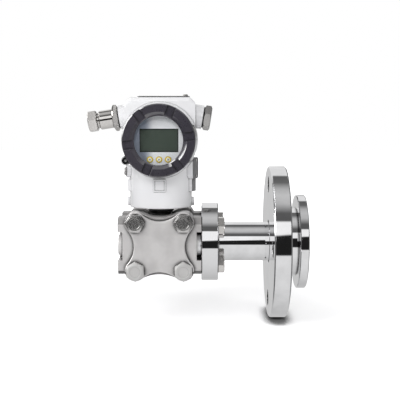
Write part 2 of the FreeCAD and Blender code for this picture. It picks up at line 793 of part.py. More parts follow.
def cap_shell(inside):
    """Closed (z, radius) profile of a cover: the given inside, then rim, spigot and groove."""
    rim = cap_d / 2
    groove_r = spigot_r - ring_section - moving_gap
    groove_end = cap_back - ring_back
    groove_start = groove_end - ring_section - 2 * moving_gap
    tail = cap_back - spigot_len
    outside = [(cap_front - cap_edge, rim), (cap_back + cap_edge / 2, rim),
               (cap_back, rim - cap_edge / 2), (cap_back, spigot_r), (groove_end, spigot_r),
               (groove_end, groove_r), (groove_start, groove_r), (groove_start, spigot_r),
               (tail + cap_edge, spigot_r), (tail, spigot_r - cap_edge), (tail, cap_inner_d / 2)]
    return inside + [(cap_front, rim - cap_edge)] + outside


def make_front_cover():
    """Window cover: grip pads, bevelled window and threaded spigot."""
    inside = [(lip_back, cap_inner_d / 2), (lip_back, window_d / 2),
              (lip_back + lip_t, window_d / 2), (cap_front, cap_pad_d / 2)]
    return turned(cap_shell(inside), FRONT).cut(cap_slots(FRONT))


def make_rear_cover():
    """Blind cover of the terminal bay with the same grip pads."""
    recess = cap_front - bevel_t
    inside = [(recess - rear_face_t, cap_inner_d / 2), (recess - rear_face_t, 0), (recess, 0),
              (recess, window_d / 2), (cap_front, cap_pad_d / 2)]
    return turned(cap_shell(inside), REAR).cut(cap_slots(REAR))


def make_cover_ring(place):
    """O-ring in the groove of a cover's spigot."""
    end = cap_back - ring_back - moving_gap
    return round_ring(spigot_r - ring_section, spigot_r, end - ring_section, end, place)


def make_window():
    """Flat gasket, toughened glass and threaded retainer, stacked behind the window."""
    bore = cap_inner_d / 2
    glass_front = lip_back - window_gasket_t
    glass_back = glass_front - glass_t
    gasket = washer(bore - glass_play, bore - window_gasket_w, glass_front, lip_back, FRONT)
    glass = rod(bore - glass_play, glass_back, glass_front, FRONT)
    retainer = washer(bore - seat_play, bore - retainer_w, glass_back - retainer_t, glass_back, FRONT)
    notches = [slab(side * bore - retainer_w / 2, side * bore + retainer_w / 2, -1.5, 1.5,
                    glass_back - retainer_t - 1, glass_back + 1, FRONT) for side in (-1, 1)]
    return gasket, glass, retainer.cut(notches)


# ---------------------------------------------------------------- display side
def key_places():
    """Centres of the three keys below the display, left to right."""
    return [(k * key_pitch, -key_drop) for k in (-1, 0, 1)]


def make_display_case():
    """Round cup that carries the display board and its face."""
    r = panel_d / 2
    return turned([(case_back, 0), (case_back, r), (panel_back, r), (panel_back, r - case_wall),
                   (board_back, r - case_wall), (board_back, 0)], FRONT)


def make_display_face():
    """Printed front plate with the display window and three key holes."""
    plate = rod(panel_d / 2, panel_back, panel_front, FRONT)
    w, h = lcd_w / 2 + lcd_play, lcd_h / 2 + lcd_play
    cuts = [slab(-w, w, -h, h, panel_back - 1, panel_front + 1, FRONT)]
    cuts += [rod(key_d / 2 + moving_gap, panel_back - 1, panel_front + 1, FRONT, x, y)
             for x, y in key_places()]
    return plate.cut(cuts)


def make_display_board():
    """Round circuit board in the display case."""
    return rod(panel_d / 2 - case_wall - seat_play, board_back, board_back + board_t, FRONT)


def make_lcd_module():
    """Liquid crystal module standing on the display board."""
    return slab(-lcd_w / 2, lcd_w / 2, -lcd_h / 2, lcd_h / 2, board_back + board_t,
                panel_front - lcd_inset, FRONT)


def make_key(x, y):
    """Push key with a retaining flange behind the display face."""
    flange_front = panel_back - moving_gap
    r = key_d / 2
    tip = panel_front + key_proud
    place = frame(V(post_x + x, 0, axis_rise + y), V(0, -1, 0), V(1, 0, 0))
    return turned([(flange_front - key_flange_t, 0), (flange_front - key_flange_t, key_flange_d / 2),
                   (flange_front, key_flange_d / 2), (flange_front, r), (tip - 0.5, r),
                   (tip, r - 0.5), (tip, 0)], place)


def standoff_places():
    """Centres of the standoffs between the dividing wall and the display case."""
    angles = [math.radians(90 + 360 / standoffs * k) for k in range(standoffs)]
    return [(standoff_ring * math.cos(a), standoff_ring * math.sin(a)) for a in angles]


def make_main_board():
    """Round main circuit board with clearance holes for the standoffs."""
    board = rod(main_board_d / 2, main_board_front - board_t, main_board_front, FRONT)
    return board.cut([rod(standoff_d / 2, main_board_front - 2 * board_t, main_board_front + 1, FRONT, x, y)
                      for x, y in standoff_places()])


def make_standoffs():
    """Stepped posts: a wide foot under the main board, a slim stem up to the display case."""
    posts = []
    for x, y in standoff_places():
        foot = rod(standoff_d / 2 + standoff_foot, wall_front, main_board_front - board_t, FRONT, x, y)
        stem = rod(standoff_d / 2 - seat_play, wall_front, case_back, FRONT, x, y)
        posts.append(foot.fuse(stem).removeSplitter())
    return posts


# --------------------------------------------------------------- terminal side
def terminal_places():
    """Centres of the terminal screws, left to right."""
    return [(terminal_pitch * (k - (terminals - 1) / 2), 0) for k in range(terminals)]


def make_terminal_block():
    """Moulded block with barriers between the terminals."""
    start = -wall_rear
    top = start + terminal_t
    block = slab(-terminal_w / 2, terminal_w / 2, -terminal_h / 2, terminal_h / 2, start, top)
    walls = []
    for k in range(terminals + 1):
        x = terminal_pitch * (k - terminals / 2)
        walls.append(slab(x - barrier_t / 2, x + barrier_t / 2, -terminal_h / 2, terminal_h / 2,
                          start, top + barrier_h))
    holes = [rod(small_thread / 2, start + terminal_floor, top + 1, FreeCAD.Placement(), x, y)
             for x, y in terminal_places()]
    return placed(block.fuse(walls).cut(holes).removeSplitter(), REAR)


def make_terminal_screws():
    """Slotted pan-head screws of the terminals."""
    top = terminal_t - wall_rear
    return [pan_screw(terminal_head_d, terminal_head_t, top, small_grip, REAR, x, y)
            for x, y in terminal_places()]


def pan_screw(head_d, head_t, seat, grip, place, x=0.0, y=0.0):
    """Slotted screw along local Z with its head on the seat height."""
    r = head_d / 2
    soft = head_t / 3
    local = frame(V(x, y, 0), V(0, 0, 1), V(1, 0, 0))
    screw = turned([(seat - grip, 0), (seat - grip, small_thread / 2), (seat, small_thread / 2),
                    (seat, r), (seat + head_t - soft, r), (seat + head_t, r - soft),
                    (seat + head_t, 0)], local)
    slot = slab(x - r, x + r, y - head_d / 14, y + head_d / 14, seat + head_t / 2, seat + head_t + 1)
    return placed(screw.cut(slot), place)


# --------------------------------------------------- top plate and small pieces
def make_adjuster_plate():
    """Thin plate that swings on one screw over the adjustment buttons."""
    low = top_z + moving_gap
    left = -strip_left
    bar = slab(left, left + strip_len, -strip_side - strip_w / 2, -strip_side + strip_w / 2,
               low, low + strip_t)
    corners = [e for e in bar.Edges if e.BoundBox.ZLength > strip_t / 2]
    bar = placed(bar.makeFillet(strip_round, corners), POST)
    hole = rod(small_thread / 2 + moving_gap, low - 1, low + 2, POST, strip_pivot_x(), -strip_side)
    return bar.cut(hole)


def make_adjuster_plate_screw():
    """Shouldered screw that the top plate swings on."""
    seat = top_z + strip_t + 2 * moving_gap
    grip = strip_thread_len + seat - top_z
    return pan_screw(strip_head_d, strip_head_t, seat, grip, POST, strip_pivot_x(), -strip_side)


def make_adjuster_button(x):
    """Plain plunger, slotted across its top."""
    top = top_z - button_sink
    plunger = rod(button_d / 2, top - button_len, top, POST, x, -strip_side)
    slot = slab(x - button_d, x + button_d, -strip_side - 0.5, -strip_side + 0.5, top - 1, top + 1,
                POST)
    return plunger.cut(slot)


def make_cover_lock_screws():
    """Socket-head screws in the lugs beside both covers."""
    screws = []
    for place in (FRONT, REAR):
        x, y = lug_centre(place)
        head = rod(lock_head_d / 2, lug_face, lug_face + lock_head_t, place, x, y)
        shank = rod(small_thread / 2, lug_face - small_grip, lug_face + 1, place, x, y)
        socket = hexagon(lock_socket, lug_face + lock_head_t / 2, lug_face + lock_head_t + 1, place, x, y,
                         ends=(False, False))
        screws.append(head.fuse(shank).cut(socket))
    return screws


def make_earth_terminal():
    """Clamp washer and screw on the earth boss."""
    top = earth_reach + clamp_t
    clamp = washer(clamp_d / 2, small_thread / 2, earth_reach, top, EARTH, y=earth_rise)
    screw = pan_screw(earth_head_d, earth_head_t, top, small_grip, EARTH, y=earth_rise)
    return clamp, screw


def make_side_plates():
    """Bare tag plate with two rivets, and the narrow plate below it."""
    tag = oblong(tag_w, tag_low, tag_high, tag_reach, tag_reach + plate_t, RIGHT)
    low = slab(-side_w / 2, side_w / 2, side_low, tag_low - side_gap, side_reach,
               side_reach + plate_t, RIGHT)
    heads = [turned([(0, 0), (0, rivet_d / 2), (rivet_h / 2, rivet_d / 2), (rivet_h, rivet_d / 4),
                     (rivet_h, 0)],
                    RIGHT.multiply(FreeCAD.Placement(V(0, z, tag_reach + plate_t),
                                                     FreeCAD.Rotation())))
             for z in (tag_low + rivet_inset, tag_high - rivet_inset)]
    return tag, low, heads


# --------------------------------------------------------- gland and blanking plug
def make_entry_ring(place):
    """Flat sealing ring between a conduit boss and what screws into it."""
    return washer(entry_seal_d / 2, entry_bore_d / 2, 0, entry_seal_t, place)


def make_gland_body():
    """Gland body: entry thread, hexagon, barrel and the thread of the clamping nut."""
    hex_end = entry_seal_t + gland_hex_t
    root_r = entry_bore_d / 2 - seat_play
    seal_start = gland_thread_end - gland_seal_len
    core = turned([(-entry_thread_len, gland_bore_d / 2), (-entry_thread_len, root_r),
                   (hex_end, root_r), (hex_end, gland_barrel_d / 2),
                   (gland_barrel_end - turned_edge, gland_barrel_d / 2),
                   (gland_barrel_end, gland_barrel_d / 2 - turned_edge),
                   (gland_barrel_end, gland_thread_d / 2), (gland_thread_end, gland_thread_d / 2),
                   (gland_thread_end, gland_seal_d / 2), (seal_start, gland_seal_d / 2),
                   (seal_start, gland_bore_d / 2)], GLAND)
    collar = hexagon(gland_hex, entry_seal_t, hex_end, GLAND, turn=gland_hex_turn)
    return core.fuse(collar.cut(rod(gland_bore_d / 2, 0, hex_end + 1, GLAND))).removeSplitter()


def make_gland_inner():
    """Rubber sealing sleeve and the slip ring that presses on it."""
    sleeve = washer(gland_seal_d / 2 - seat_play, cable_d / 2,
                    gland_thread_end - gland_seal_len, gland_thread_end, GLAND)
    slip = washer(gland_seal_d / 2, cable_d / 2 + moving_gap, slip_ring_start, slip_ring_end, GLAND)
    return sleeve, slip


def make_gland_nut():
    """Hexagon clamping nut with a rounded cable mouth."""
    nut = hexagon(gland_nut_hex, gland_nut_start, gland_end, GLAND, turn=gland_nut_turn)
    shoulder = slip_ring_end + moving_gap
    thread_r = gland_thread_d / 2 + moving_gap
    bore_r = nut_bore_d / 2
    hollow = turned([(gland_nut_start - 1, 0), (gland_nut_start - 1, thread_r),
                     (shoulder, thread_r), (shoulder, bore_r), (gland_end - gland_nut_mouth, bore_r),
                     (gland_end, bore_r + gland_nut_mouth / 2),
                     (gland_end + 1, bore_r + gland_nut_mouth / 2), (gland_end + 1, 0)], GLAND)
    return nut.cut(hollow)


def make_blanking_plug():
    """Hexagon plug in the free conduit entry."""
    root_r = entry_bore_d / 2 - seat_play
    end = entry_seal_t + plug_hex_t
    head = hexagon(plug_hex, entry_seal_t, end, PLUG, turn=plug_hex_turn)
    thread = washer(root_r, root_r - plug_wall, -entry_thread_len, entry_seal_t + 1, PLUG)
    return head.fuse(thread).removeSplitter()


# ----------------------------------------------------------------------- export
def build():
    """Make every piece and write one STEP file per node."""
    os.makedirs("parts", exist_ok=True)
    export("seal_body", make_seal_body())
    export("seal_diaphragm", make_seal_diaphragm())
    export("mounting_flange", make_mounting_flange())
    export("extension_tube", make_extension_tube())
    export("capillary_tube", make_capillary())
    export("adapter_flange", make_adapter_flange())
    export("adapter_bolts", *make_adapter_bolts())
    export("port_seals", *make_port_seals())
    cover = make_process_cover()
    export("front_process_cover", cover)
    export("rear_process_cover", cover.mirror(V(0, 0, 0), V(0, 1, 0)))
    export("process_gaskets", *make_process_gaskets())
    export("sensor_module", make_sensor_module())
    export("neck_ring", make_neck_ring())
    export("process_bolts", *make_process_bolts())
    export("process_nuts", *make_process_nuts())
    export("end_plugs", *make_end_plugs())
    export("housing", make_housing())
    export("swivel_screws", *make_swivel_screws())
    export("front_cover", make_front_cover())
    export("front_cover_ring", make_cover_ring(FRONT))
    gasket, glass, retainer = make_window()
    export("window_gasket", gasket)
    export("window_glass", glass)
    export("glass_retainer", retainer)
    export("rear_cover", make_rear_cover())
    export("rear_cover_ring", make_cover_ring(REAR))
    export("display_case", make_display_case())
    export("display_face", make_display_face())
    export("display_board", make_display_board())
    export("lcd_module", make_lcd_module())
    for name, (x, y) in zip(("key_left", "key_middle", "key_right"), key_places()):
        export(name, make_key(x, y))
    export("main_board", make_main_board())
    export("standoffs", *make_standoffs())
    export("terminal_block", make_terminal_block())
    export("terminal_screws", *make_terminal_screws())
    export("adjuster_plate", make_adjuster_plate())
    export("adjuster_plate_screw", make_adjuster_plate_screw())
    export("zero_button", make_adjuster_button(-button_pitch / 2))
    export("span_button", make_adjuster_button(button_pitch / 2))
    export("cover_lock_screws", *make_cover_lock_screws())
    clamp, screw = make_earth_terminal()
    export("earth_clamp", clamp)
    export("earth_screw", screw)
    tag, low, heads = make_side_plates()
    export("tag_plate", tag)
    export("side_plate", low)
    export("tag_rivets", *heads)
    export("gland_body", make_gland_body())
    export("gland_ring", make_entry_ring(GLAND))
    sleeve, slip = make_gland_inner()
    export("gland_seal", sleeve)
    export("gland_slip_ring", slip)
    export("gland_nut", make_gland_nut())
    export("blanking_plug", make_blanking_plug())
    export("plug_ring", make_entry_ring(PLUG))


build()
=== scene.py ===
"""Looks of a flange-mounted differential pressure transmitter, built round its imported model."""

import logging
import math
from dataclasses import dataclass, field
from enum import Enum
from typing import Any

import bmesh
import bpy
from mathutils import Matrix, Vector

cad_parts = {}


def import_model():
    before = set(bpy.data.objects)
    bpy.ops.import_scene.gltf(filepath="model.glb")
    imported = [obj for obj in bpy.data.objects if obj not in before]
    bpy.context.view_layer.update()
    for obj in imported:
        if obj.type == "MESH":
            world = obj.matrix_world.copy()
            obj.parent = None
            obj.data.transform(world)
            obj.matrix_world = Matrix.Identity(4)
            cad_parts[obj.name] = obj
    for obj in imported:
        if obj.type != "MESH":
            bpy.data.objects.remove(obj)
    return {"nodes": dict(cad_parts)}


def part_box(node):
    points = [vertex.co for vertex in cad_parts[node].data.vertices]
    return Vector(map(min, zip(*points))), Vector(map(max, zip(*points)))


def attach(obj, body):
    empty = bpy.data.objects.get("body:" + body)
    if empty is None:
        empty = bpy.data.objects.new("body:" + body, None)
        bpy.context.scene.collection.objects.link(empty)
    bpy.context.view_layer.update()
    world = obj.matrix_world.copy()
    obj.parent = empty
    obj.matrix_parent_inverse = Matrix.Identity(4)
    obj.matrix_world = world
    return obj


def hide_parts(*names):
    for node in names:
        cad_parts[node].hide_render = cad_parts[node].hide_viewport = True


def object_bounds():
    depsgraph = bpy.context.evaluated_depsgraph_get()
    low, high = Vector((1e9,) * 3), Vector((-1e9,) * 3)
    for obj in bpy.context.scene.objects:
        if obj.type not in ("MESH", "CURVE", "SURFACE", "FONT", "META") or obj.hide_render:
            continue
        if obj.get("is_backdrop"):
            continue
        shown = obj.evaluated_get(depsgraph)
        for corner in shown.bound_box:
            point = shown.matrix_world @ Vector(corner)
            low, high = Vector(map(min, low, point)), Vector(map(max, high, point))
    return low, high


LOG = logging.getLogger("transmitter")
MM = 0.001
TINY = 1e-9
MERGE_DISTANCE = 1e-7
STRAIGHT_COSINE = 0.999
CUT_SHARE = 0.45
LOCAL = Matrix.Identity(4)
X_AXIS = Vector((1.0, 0.0, 0.0))
Y_AXIS = Vector((0.0, 1.0, 0.0))
SMOOTH_ANGLE = 32.0
MATT_ROUGHNESS = 0.35
CLOUD_SCALE = 60.0
# Colour that corners are darkened towards, as painted shade.
PAINTED_SHADE = (0.03, 0.03, 0.03)
Color = tuple[float, float, float]
Point = tuple[float, float, float]
Pair = tuple[float, float]
Profile = list[Pair]
Piece = bpy.types.Object
Material = bpy.types.Material
NodeTree = bpy.types.NodeTree
Node = bpy.types.Node
Socket = bpy.types.NodeSocket
Value = Socket | float | tuple[float, ...]


class Grain(Enum):
    """Directions in which a metal finish can be drawn out."""

    EVEN = (1.0, 1.0, 1.0)
    ROUND_X = (14.0, 1.0, 1.0)
    ALONG_Y = (1.0, 0.05, 1.0)


class MixKind(Enum):
    """What a Mix node works on: its data type, first input and output."""

    NUMBER = ("FLOAT", 2, 0)
    COLOR = ("RGBA", 6, 2)


# --- nodes
def feed(tree: NodeTree, socket: Socket, value: Value) -> None:
    """Links an input to a socket or sets its value; three numbers make an opaque colour."""
    if isinstance(value, Socket):
        tree.links.new(value, socket)
    elif socket.type == "RGBA":
        socket.default_value = (*value, 1.0)
    else:
        socket.default_value = value


def add_node(tree: NodeTree, kind: str, settings: dict[str, Any] | None = None,
             values: tuple[Value, ...] = (), **inputs: Value) -> Node:
    """Adds a node and feeds it.

    Args:
        tree: Node tree to add to.
        kind: Type of the node.
        settings: Properties of the node by name.
        values: Values of its first inputs, in order.
        inputs: Values of inputs by name; underscores stand for spaces.

    Returns:
        The new node.
    """
    node = tree.nodes.new(kind)
    for key, value in (settings or {}).items():
        setattr(node, key, value)
    for socket, value in zip(node.inputs, values):
        feed(tree, socket, value)
    for key, value in inputs.items():
        feed(tree, node.inputs[key.replace("_", " ")], value)
    return node


def math_node(tree: NodeTree, operation: str, *values: Value) -> Socket:
    """Result of a Math node fed by sockets or numbers."""
    return add_node(tree, "ShaderNodeMath", {"operation": operation}, values).outputs[0]


def vector_node(tree: NodeTree, operation: str, *values: Value) -> Socket:
    """Result of a Vector Math node: a vector from MULTIPLY, otherwise a number."""
    node = add_node(tree, "ShaderNodeVectorMath", {"operation": operation}, values)
    return node.outputs["Vector" if operation == "MULTIPLY" else "Value"]


def smooth_step(tree: NodeTree, value: Socket, low: float, high: float) -> Socket:
    """Smooth step of a value, from 0 at low to 1 at high."""
    return add_node(tree, "ShaderNodeMapRange", {"interpolation_type": "SMOOTHSTEP"},
                    (value, low, high)).outputs[0]


def mix_node(tree: NodeTree, share: Socket, low: Value, high: Value,
             kind: MixKind = MixKind.NUMBER) -> Socket:
    """Mixes two numbers or two colours by the share of the second."""
    data_type, first, output = kind.value
    node = add_node(tree, "ShaderNodeMix", {"data_type": data_type})
    for index, value in ((0, share), (first, low), (first + 1, high)):
        feed(tree, node.inputs[index], value)
    return node.outputs[output]


class ShaderGraph:
    """A material under construction, round one Principled shader."""

    noise_roughness = 0.55
    ramp_span = (0.35, 0.65)
    spread_span = (0.3, 0.7)
    open_sky = (0.45, 0.95)

    def __init__(self, name: str) -> None:
        """Starts a node material of the given name."""
        self.material = bpy.data.materials.new(name)
        self.material.use_nodes = True
        self.tree = self.material.node_tree
        self.tree.nodes.clear()
        self.shader = self.tree.nodes.new("ShaderNodeBsdfPrincipled")
        add_node(self.tree, "ShaderNodeOutputMaterial", Surface=self.shader.outputs[0])
        self.coords = self.tree.nodes.new("ShaderNodeTexCoord").outputs["Object"]

    def set(self, **values: Value) -> None:
        """Feeds inputs of the shader by name; underscores stand for spaces."""
        for key, value in values.items():
            feed(self.tree, self.shader.inputs[key.replace("_", " ")], value)

    def source(self, name: str) -> Socket:
        """Socket that feeds an input of the shader."""
        return self.shader.inputs[name].links[0].from_socket

    def noise(self, scale: float, detail: float = 3.0, stretch: Grain = Grain.EVEN) -> Socket:
        """Noise on Object coordinates.

        Args:
            scale: Cells per metre.
            detail: Octaves of finer noise.
            stretch: Direction in which the cells are drawn out.

        Returns:
            The noise factor.
        """
        cells = add_node(self.tree, "ShaderNodeMapping", Vector=self.coords, Scale=stretch.value)
        return add_node(self.tree, "ShaderNodeTexNoise", Vector=cells.outputs[0], Scale=scale,
                        Detail=detail, Roughness=self.noise_roughness).outputs["Fac"]

    def ramp(self, factor: Socket, low: Color, high: Color) -> Socket:
        """Runs from one colour to another over the middle of a factor."""
        node = add_node(self.tree, "ShaderNodeValToRGB", values=(factor,))
        for element, place, color in zip(node.color_ramp.elements, self.ramp_span, (low, high)):
            element.position = place
            element.color = (*color, 1.0)
        return node.outputs[0]

    def spread(self, factor: Socket, low: float, high: float) -> Socket:
        """Maps the middle of a noise factor onto a range of values."""
        return add_node(self.tree, "ShaderNodeMapRange",
                        values=(factor, *self.spread_span, low, high)).outputs[0]

    def maths(self, operation: str, *values: Value) -> Socket:
        """Result of a Math node on sockets or numbers."""
        return math_node(self.tree, operation, *values)

    def along(self, axis: str, low: float, high: float) -> Socket:
        """Smooth share from 0 at low to 1 at high along one axis, in metres."""
        split = add_node(self.tree, "ShaderNodeSeparateXYZ", values=(self.coords,))
        return smooth_step(self.tree, split.outputs[axis], low, high)

    def between(self, axis: str, low: float, high: float, soft: float) -> Socket:
        """Share that is 1 from low to high along one axis, with soft edges outside them."""
        return self.maths("SUBTRACT", self.along(axis, low - soft, low),
                          self.along(axis, high, high + soft))

    def round_axis(self, middle: Point, low: float, high: float) -> Socket:
        """Smooth share by the distance in metres from the axis along Y through a point."""
        flat = vector_node(self.tree, "MULTIPLY", self.coords, (1.0, 0.0, 1.0))
        away = vector_node(self.tree, "DISTANCE", flat, (middle[0], 0.0, middle[2]))
        return smooth_step(self.tree, away, low, high)

    def cavity(self, reach: float) -> Socket:
        """Share from 0 on open ground to 1 in a corner, by the open sky within a reach."""
        sky = add_node(self.tree, "ShaderNodeAmbientOcclusion", {"samples": 8}, Distance=reach)
        return self.maths("SUBTRACT", 1.0,
                          smooth_step(self.tree, sky.outputs["AO"], *self.open_sky))

    def mix(self, share: Socket, low: Value, high: Value) -> Socket:
        """Mix of two colours, each a socket or three numbers."""
        return mix_node(self.tree, share, low, high, MixKind.COLOR)

    def bump(self, height: Socket, depth: float, edge: float) -> None:
        """Adds relief of a depth, and rounds the light on edges by a radius, both in metres."""
        rounding = add_node(self.tree, "ShaderNodeBevel", {"samples": 6}, Radius=edge)
        relief = add_node(self.tree, "ShaderNodeBump", Distance=depth, Height=height,
                          Normal=rounding.outputs[0])
        self.set(Normal=relief.outputs[0])


# --- finishes
def shaded(color: Color, share: float) -> Color:
    """A colour with only a share of its light."""
    return tuple(share * value for value in color)


@dataclass(frozen=True)
class Finish:
    """A material recipe."""

    name: str

    def build(self) -> Material:
        """Makes the material."""
        graph = ShaderGraph(self.name)
        self.paint(graph)
        return graph.material

    def paint(self, graph: ShaderGraph) -> None:
        """Draws the shader; each kind of finish has its own."""
        raise NotImplementedError


@dataclass(frozen=True)
class Metal(Finish):
    """A bare metal finish with grain in its colour, gloss and relief."""

    dark: Color
    light: Color
    roughness: Pair
    grain_scale: float
    relief: float
    stretch: Grain = Grain.EVEN
    edge: float = 0.3 * MM
    metallic: float = 1.0
    # Reach of painted shade into corners, in metres; 0 paints none.
    painted_shade_reach: float = 0.0

    def paint(self, graph: ShaderGraph) -> None:
        """Draws the shader."""
        grain = graph.noise(self.grain_scale, stretch=self.stretch)
        base = graph.ramp(graph.noise(CLOUD_SCALE, detail=2.0), self.dark, self.light)
        self.close(graph, grain, base, graph.spread(grain, *self.roughness), self.metallic)

    def close(self, graph: ShaderGraph, grain: Socket, base: Socket, rough: Socket,
              metallic: Value) -> None:
        """Paints shade into the corners of the base colour, feeds the shader and adds the grain.
        """
        # Painted shade: corners and creases are darkened towards a near-black colour.
        if self.painted_shade_reach:
            base = graph.mix(graph.cavity(self.painted_shade_reach), base, PAINTED_SHADE)
        graph.set(Metallic=metallic, Base_Color=base, Roughness=rough)
        graph.bump(grain, self.relief, self.edge)


@dataclass(frozen=True)
class PartPolished(Metal):
    """Steel polished over one span of an axis and matt outside it, where painted shade darkens it.
    """

    axis: str = "X"
    polished: Pair = (-1.0, 1.0)
    soft: float = 0.3 * MM
    matt_painted_shade: float = 1.0
    matt_metallic: float = 0.4

    def paint(self, graph: ShaderGraph) -> None:
        """Draws the shader."""
        share = graph.between(self.axis, *self.polished, self.soft)
        grain = graph.noise(self.grain_scale, stretch=self.stretch)
        dull = graph.maths("MULTIPLY_ADD", share, -MATT_ROUGHNESS, MATT_ROUGHNESS)
        rough = graph.maths("ADD", graph.spread(grain, *self.roughness), dull)
        # Painted shade: the matt part takes a darker copy of the light colour.
        base = graph.mix(share, shaded(self.light, self.matt_painted_shade),
                         graph.ramp(grain, self.dark, self.light))
        metallic = graph.maths("MULTIPLY_ADD", share, 1.0 - self.matt_metallic,
                               self.matt_metallic)
        self.close(graph, grain, base, rough, metallic)


@dataclass(frozen=True)
class CastSteel(Metal):
    """Blasted casting with painted shade on its ends above and below the port faces."""

    middle: float = 0.0
    port_x: float = 31.5 * MM
    # Heights and shares of the painted shade on the ends.
    painted_shade_heights: Pair = (-26.0 * MM, 23.0 * MM)
    painted_shade_shares: Pair = (0.28, 0.6)
    soft: float = 0.4 * MM

    def paint(self, graph: ShaderGraph) -> None:
        """Draws the shader."""
        grain = graph.noise(self.grain_scale, stretch=self.stretch)
        base = graph.ramp(graph.noise(CLOUD_SCALE, detail=2.0), self.dark, self.light)
        # Painted shade: the ends beyond the port faces are darkened above and below them.
        reach = self.port_x - self.soft
        ends = graph.maths("SUBTRACT", 1.0, graph.between(
            "X", self.middle - reach, self.middle + reach, self.soft))
        low, high = self.painted_shade_heights
        under = graph.maths("SUBTRACT", 1.0, graph.along("Z", low - self.soft, low))
        over = graph.along("Z", high, high + self.soft)
        for share, shade in zip((under, over), self.painted_shade_shares):
            base = graph.mix(graph.maths("MULTIPLY", ends, share), base,
                             shaded(self.dark, shade))
        self.close(graph, grain, base, graph.spread(grain, *self.roughness), self.metallic)


@dataclass(frozen=True)
class Coating(Finish):
    """A paint, plastic or rubber: colour, gloss, orange peel and a clear coat."""

    dark: Color
    light: Color
    roughness: Pair
    cloud_scale: float = 25.0
    peel_scale: float = 350.0
    peel: float = 0.02 * MM
    coat: float = 0.0
    coat_ior: float = 1.5
    coat_roughness: float = 0.06
    # Reach and share of painted shade in corners.
    painted_shade_reach: float = 0.0
    painted_shade_share: float = 0.3
    edge: float = 0.4 * MM

    def paint(self, graph: ShaderGraph) -> None:
        """Draws the shader."""
        base = graph.ramp(graph.noise(self.cloud_scale, detail=2.0), self.dark, self.light)
        peel = graph.noise(self.peel_scale, detail=2.0)
        coat: Value = self.coat
        # Painted shade: corners are darkened, and the clear coat fades there.
        if self.painted_shade_reach:
            corner = graph.cavity(self.painted_shade_reach)
            base = graph.mix(corner, base, shaded(self.dark, self.painted_shade_share))
            if self.coat:
                coat = graph.maths("MULTIPLY_ADD", corner, -self.coat, self.coat)
        graph.set(Base_Color=base, Coat_Weight=coat, Coat_Roughness=self.coat_roughness,
                  Coat_IOR=self.coat_ior, Roughness=graph.spread(peel, *self.roughness))
        graph.bump(peel, self.peel, self.edge)


@dataclass(frozen=True)
class RimmedPaint(Coating):
    """Paint that leaves a bright turned band bare round both ends of the barrel."""

    middle: Point = (0.0, 0.0, 0.0)
    band: Pair = (37.3 * MM, 39.7 * MM)
    shoulder: float = 30.0 * MM
    soft: float = 0.2 * MM
    steel: Color = (0.42, 0.42, 0.44)
    paint_roughness: float = 0.25
    steel_roughness: float = 0.10

    def paint(self, graph: ShaderGraph) -> None:
        """Draws the shader."""
        super().paint(graph)
        outside, inside = (graph.round_axis(self.middle, radius - self.soft, radius)
                           for radius in self.band)
        ends = graph.maths("SUBTRACT", 1.0, graph.between(
            "Y", -self.shoulder, self.shoulder, self.soft))
        bare = graph.maths("MULTIPLY", graph.maths("SUBTRACT", outside, inside), ends)
        rough = graph.maths("MULTIPLY_ADD", bare, self.steel_roughness - self.paint_roughness,
                            self.paint_roughness)
        graph.set(Base_Color=graph.mix(bare, graph.source("Base Color"), self.steel),
                  Metallic=bare, Roughness=rough)


@dataclass(frozen=True)
class ScrewBlack(Coating):
    """Oiled steel with a painted highlight, a light grey disc, in the middle of each head."""

    middle: Point = (0.0, 0.0, 0.0)
    bore: float = 1.3 * MM
    soft: float = 0.2 * MM
    painted_glint: Color = (0.6, 0.6, 0.6)

    def paint(self, graph: ShaderGraph) -> None:
        """Draws the shader."""
        super().paint(graph)
        # Painted highlight: a light grey disc in the middle of each head.
        outside = graph.round_axis(self.middle, self.bore - self.soft, self.bore + self.soft)
        graph.set(Base_Color=graph.mix(outside, self.painted_glint, self.dark))


@dataclass(frozen=True)
class ShadedSilver(Coating):
    """Silver panel paint with a painted shadow of the cover's rim, slate towards its left edge."""

    painted_shadow: Color = (0.30, 0.34, 0.42)
    span: Pair = (-172.0 * MM, -161.0 * MM)

    def paint(self, graph: ShaderGraph) -> None:
        """Draws the shader."""
        super().paint(graph)
        # Painted shadow: the panel darkens to slate towards its left edge, under the cover's rim.
        graph.set(Base_Color=graph.mix(graph.along("X", *self.span), self.painted_shadow,
                                       graph.source("Base Color")))


@dataclass(frozen=True)
class ClearGlass(Finish):
    """Toughened window glass with faint unevenness."""

    name: str = "window_glass"
    tint: Color = (0.97, 0.99, 0.985)
    roughness: Pair = (0.01, 0.03)
    wave_scale: float = 30.0
    alpha: float = 0.05

    def paint(self, graph: ShaderGraph) -> None:
        """Draws the shader."""
        wave = graph.noise(self.wave_scale, detail=1.0)
        graph.set(Base_Color=self.tint, Roughness=graph.spread(wave, *self.roughness),
                  Metallic=1.0, Alpha=self.alpha)


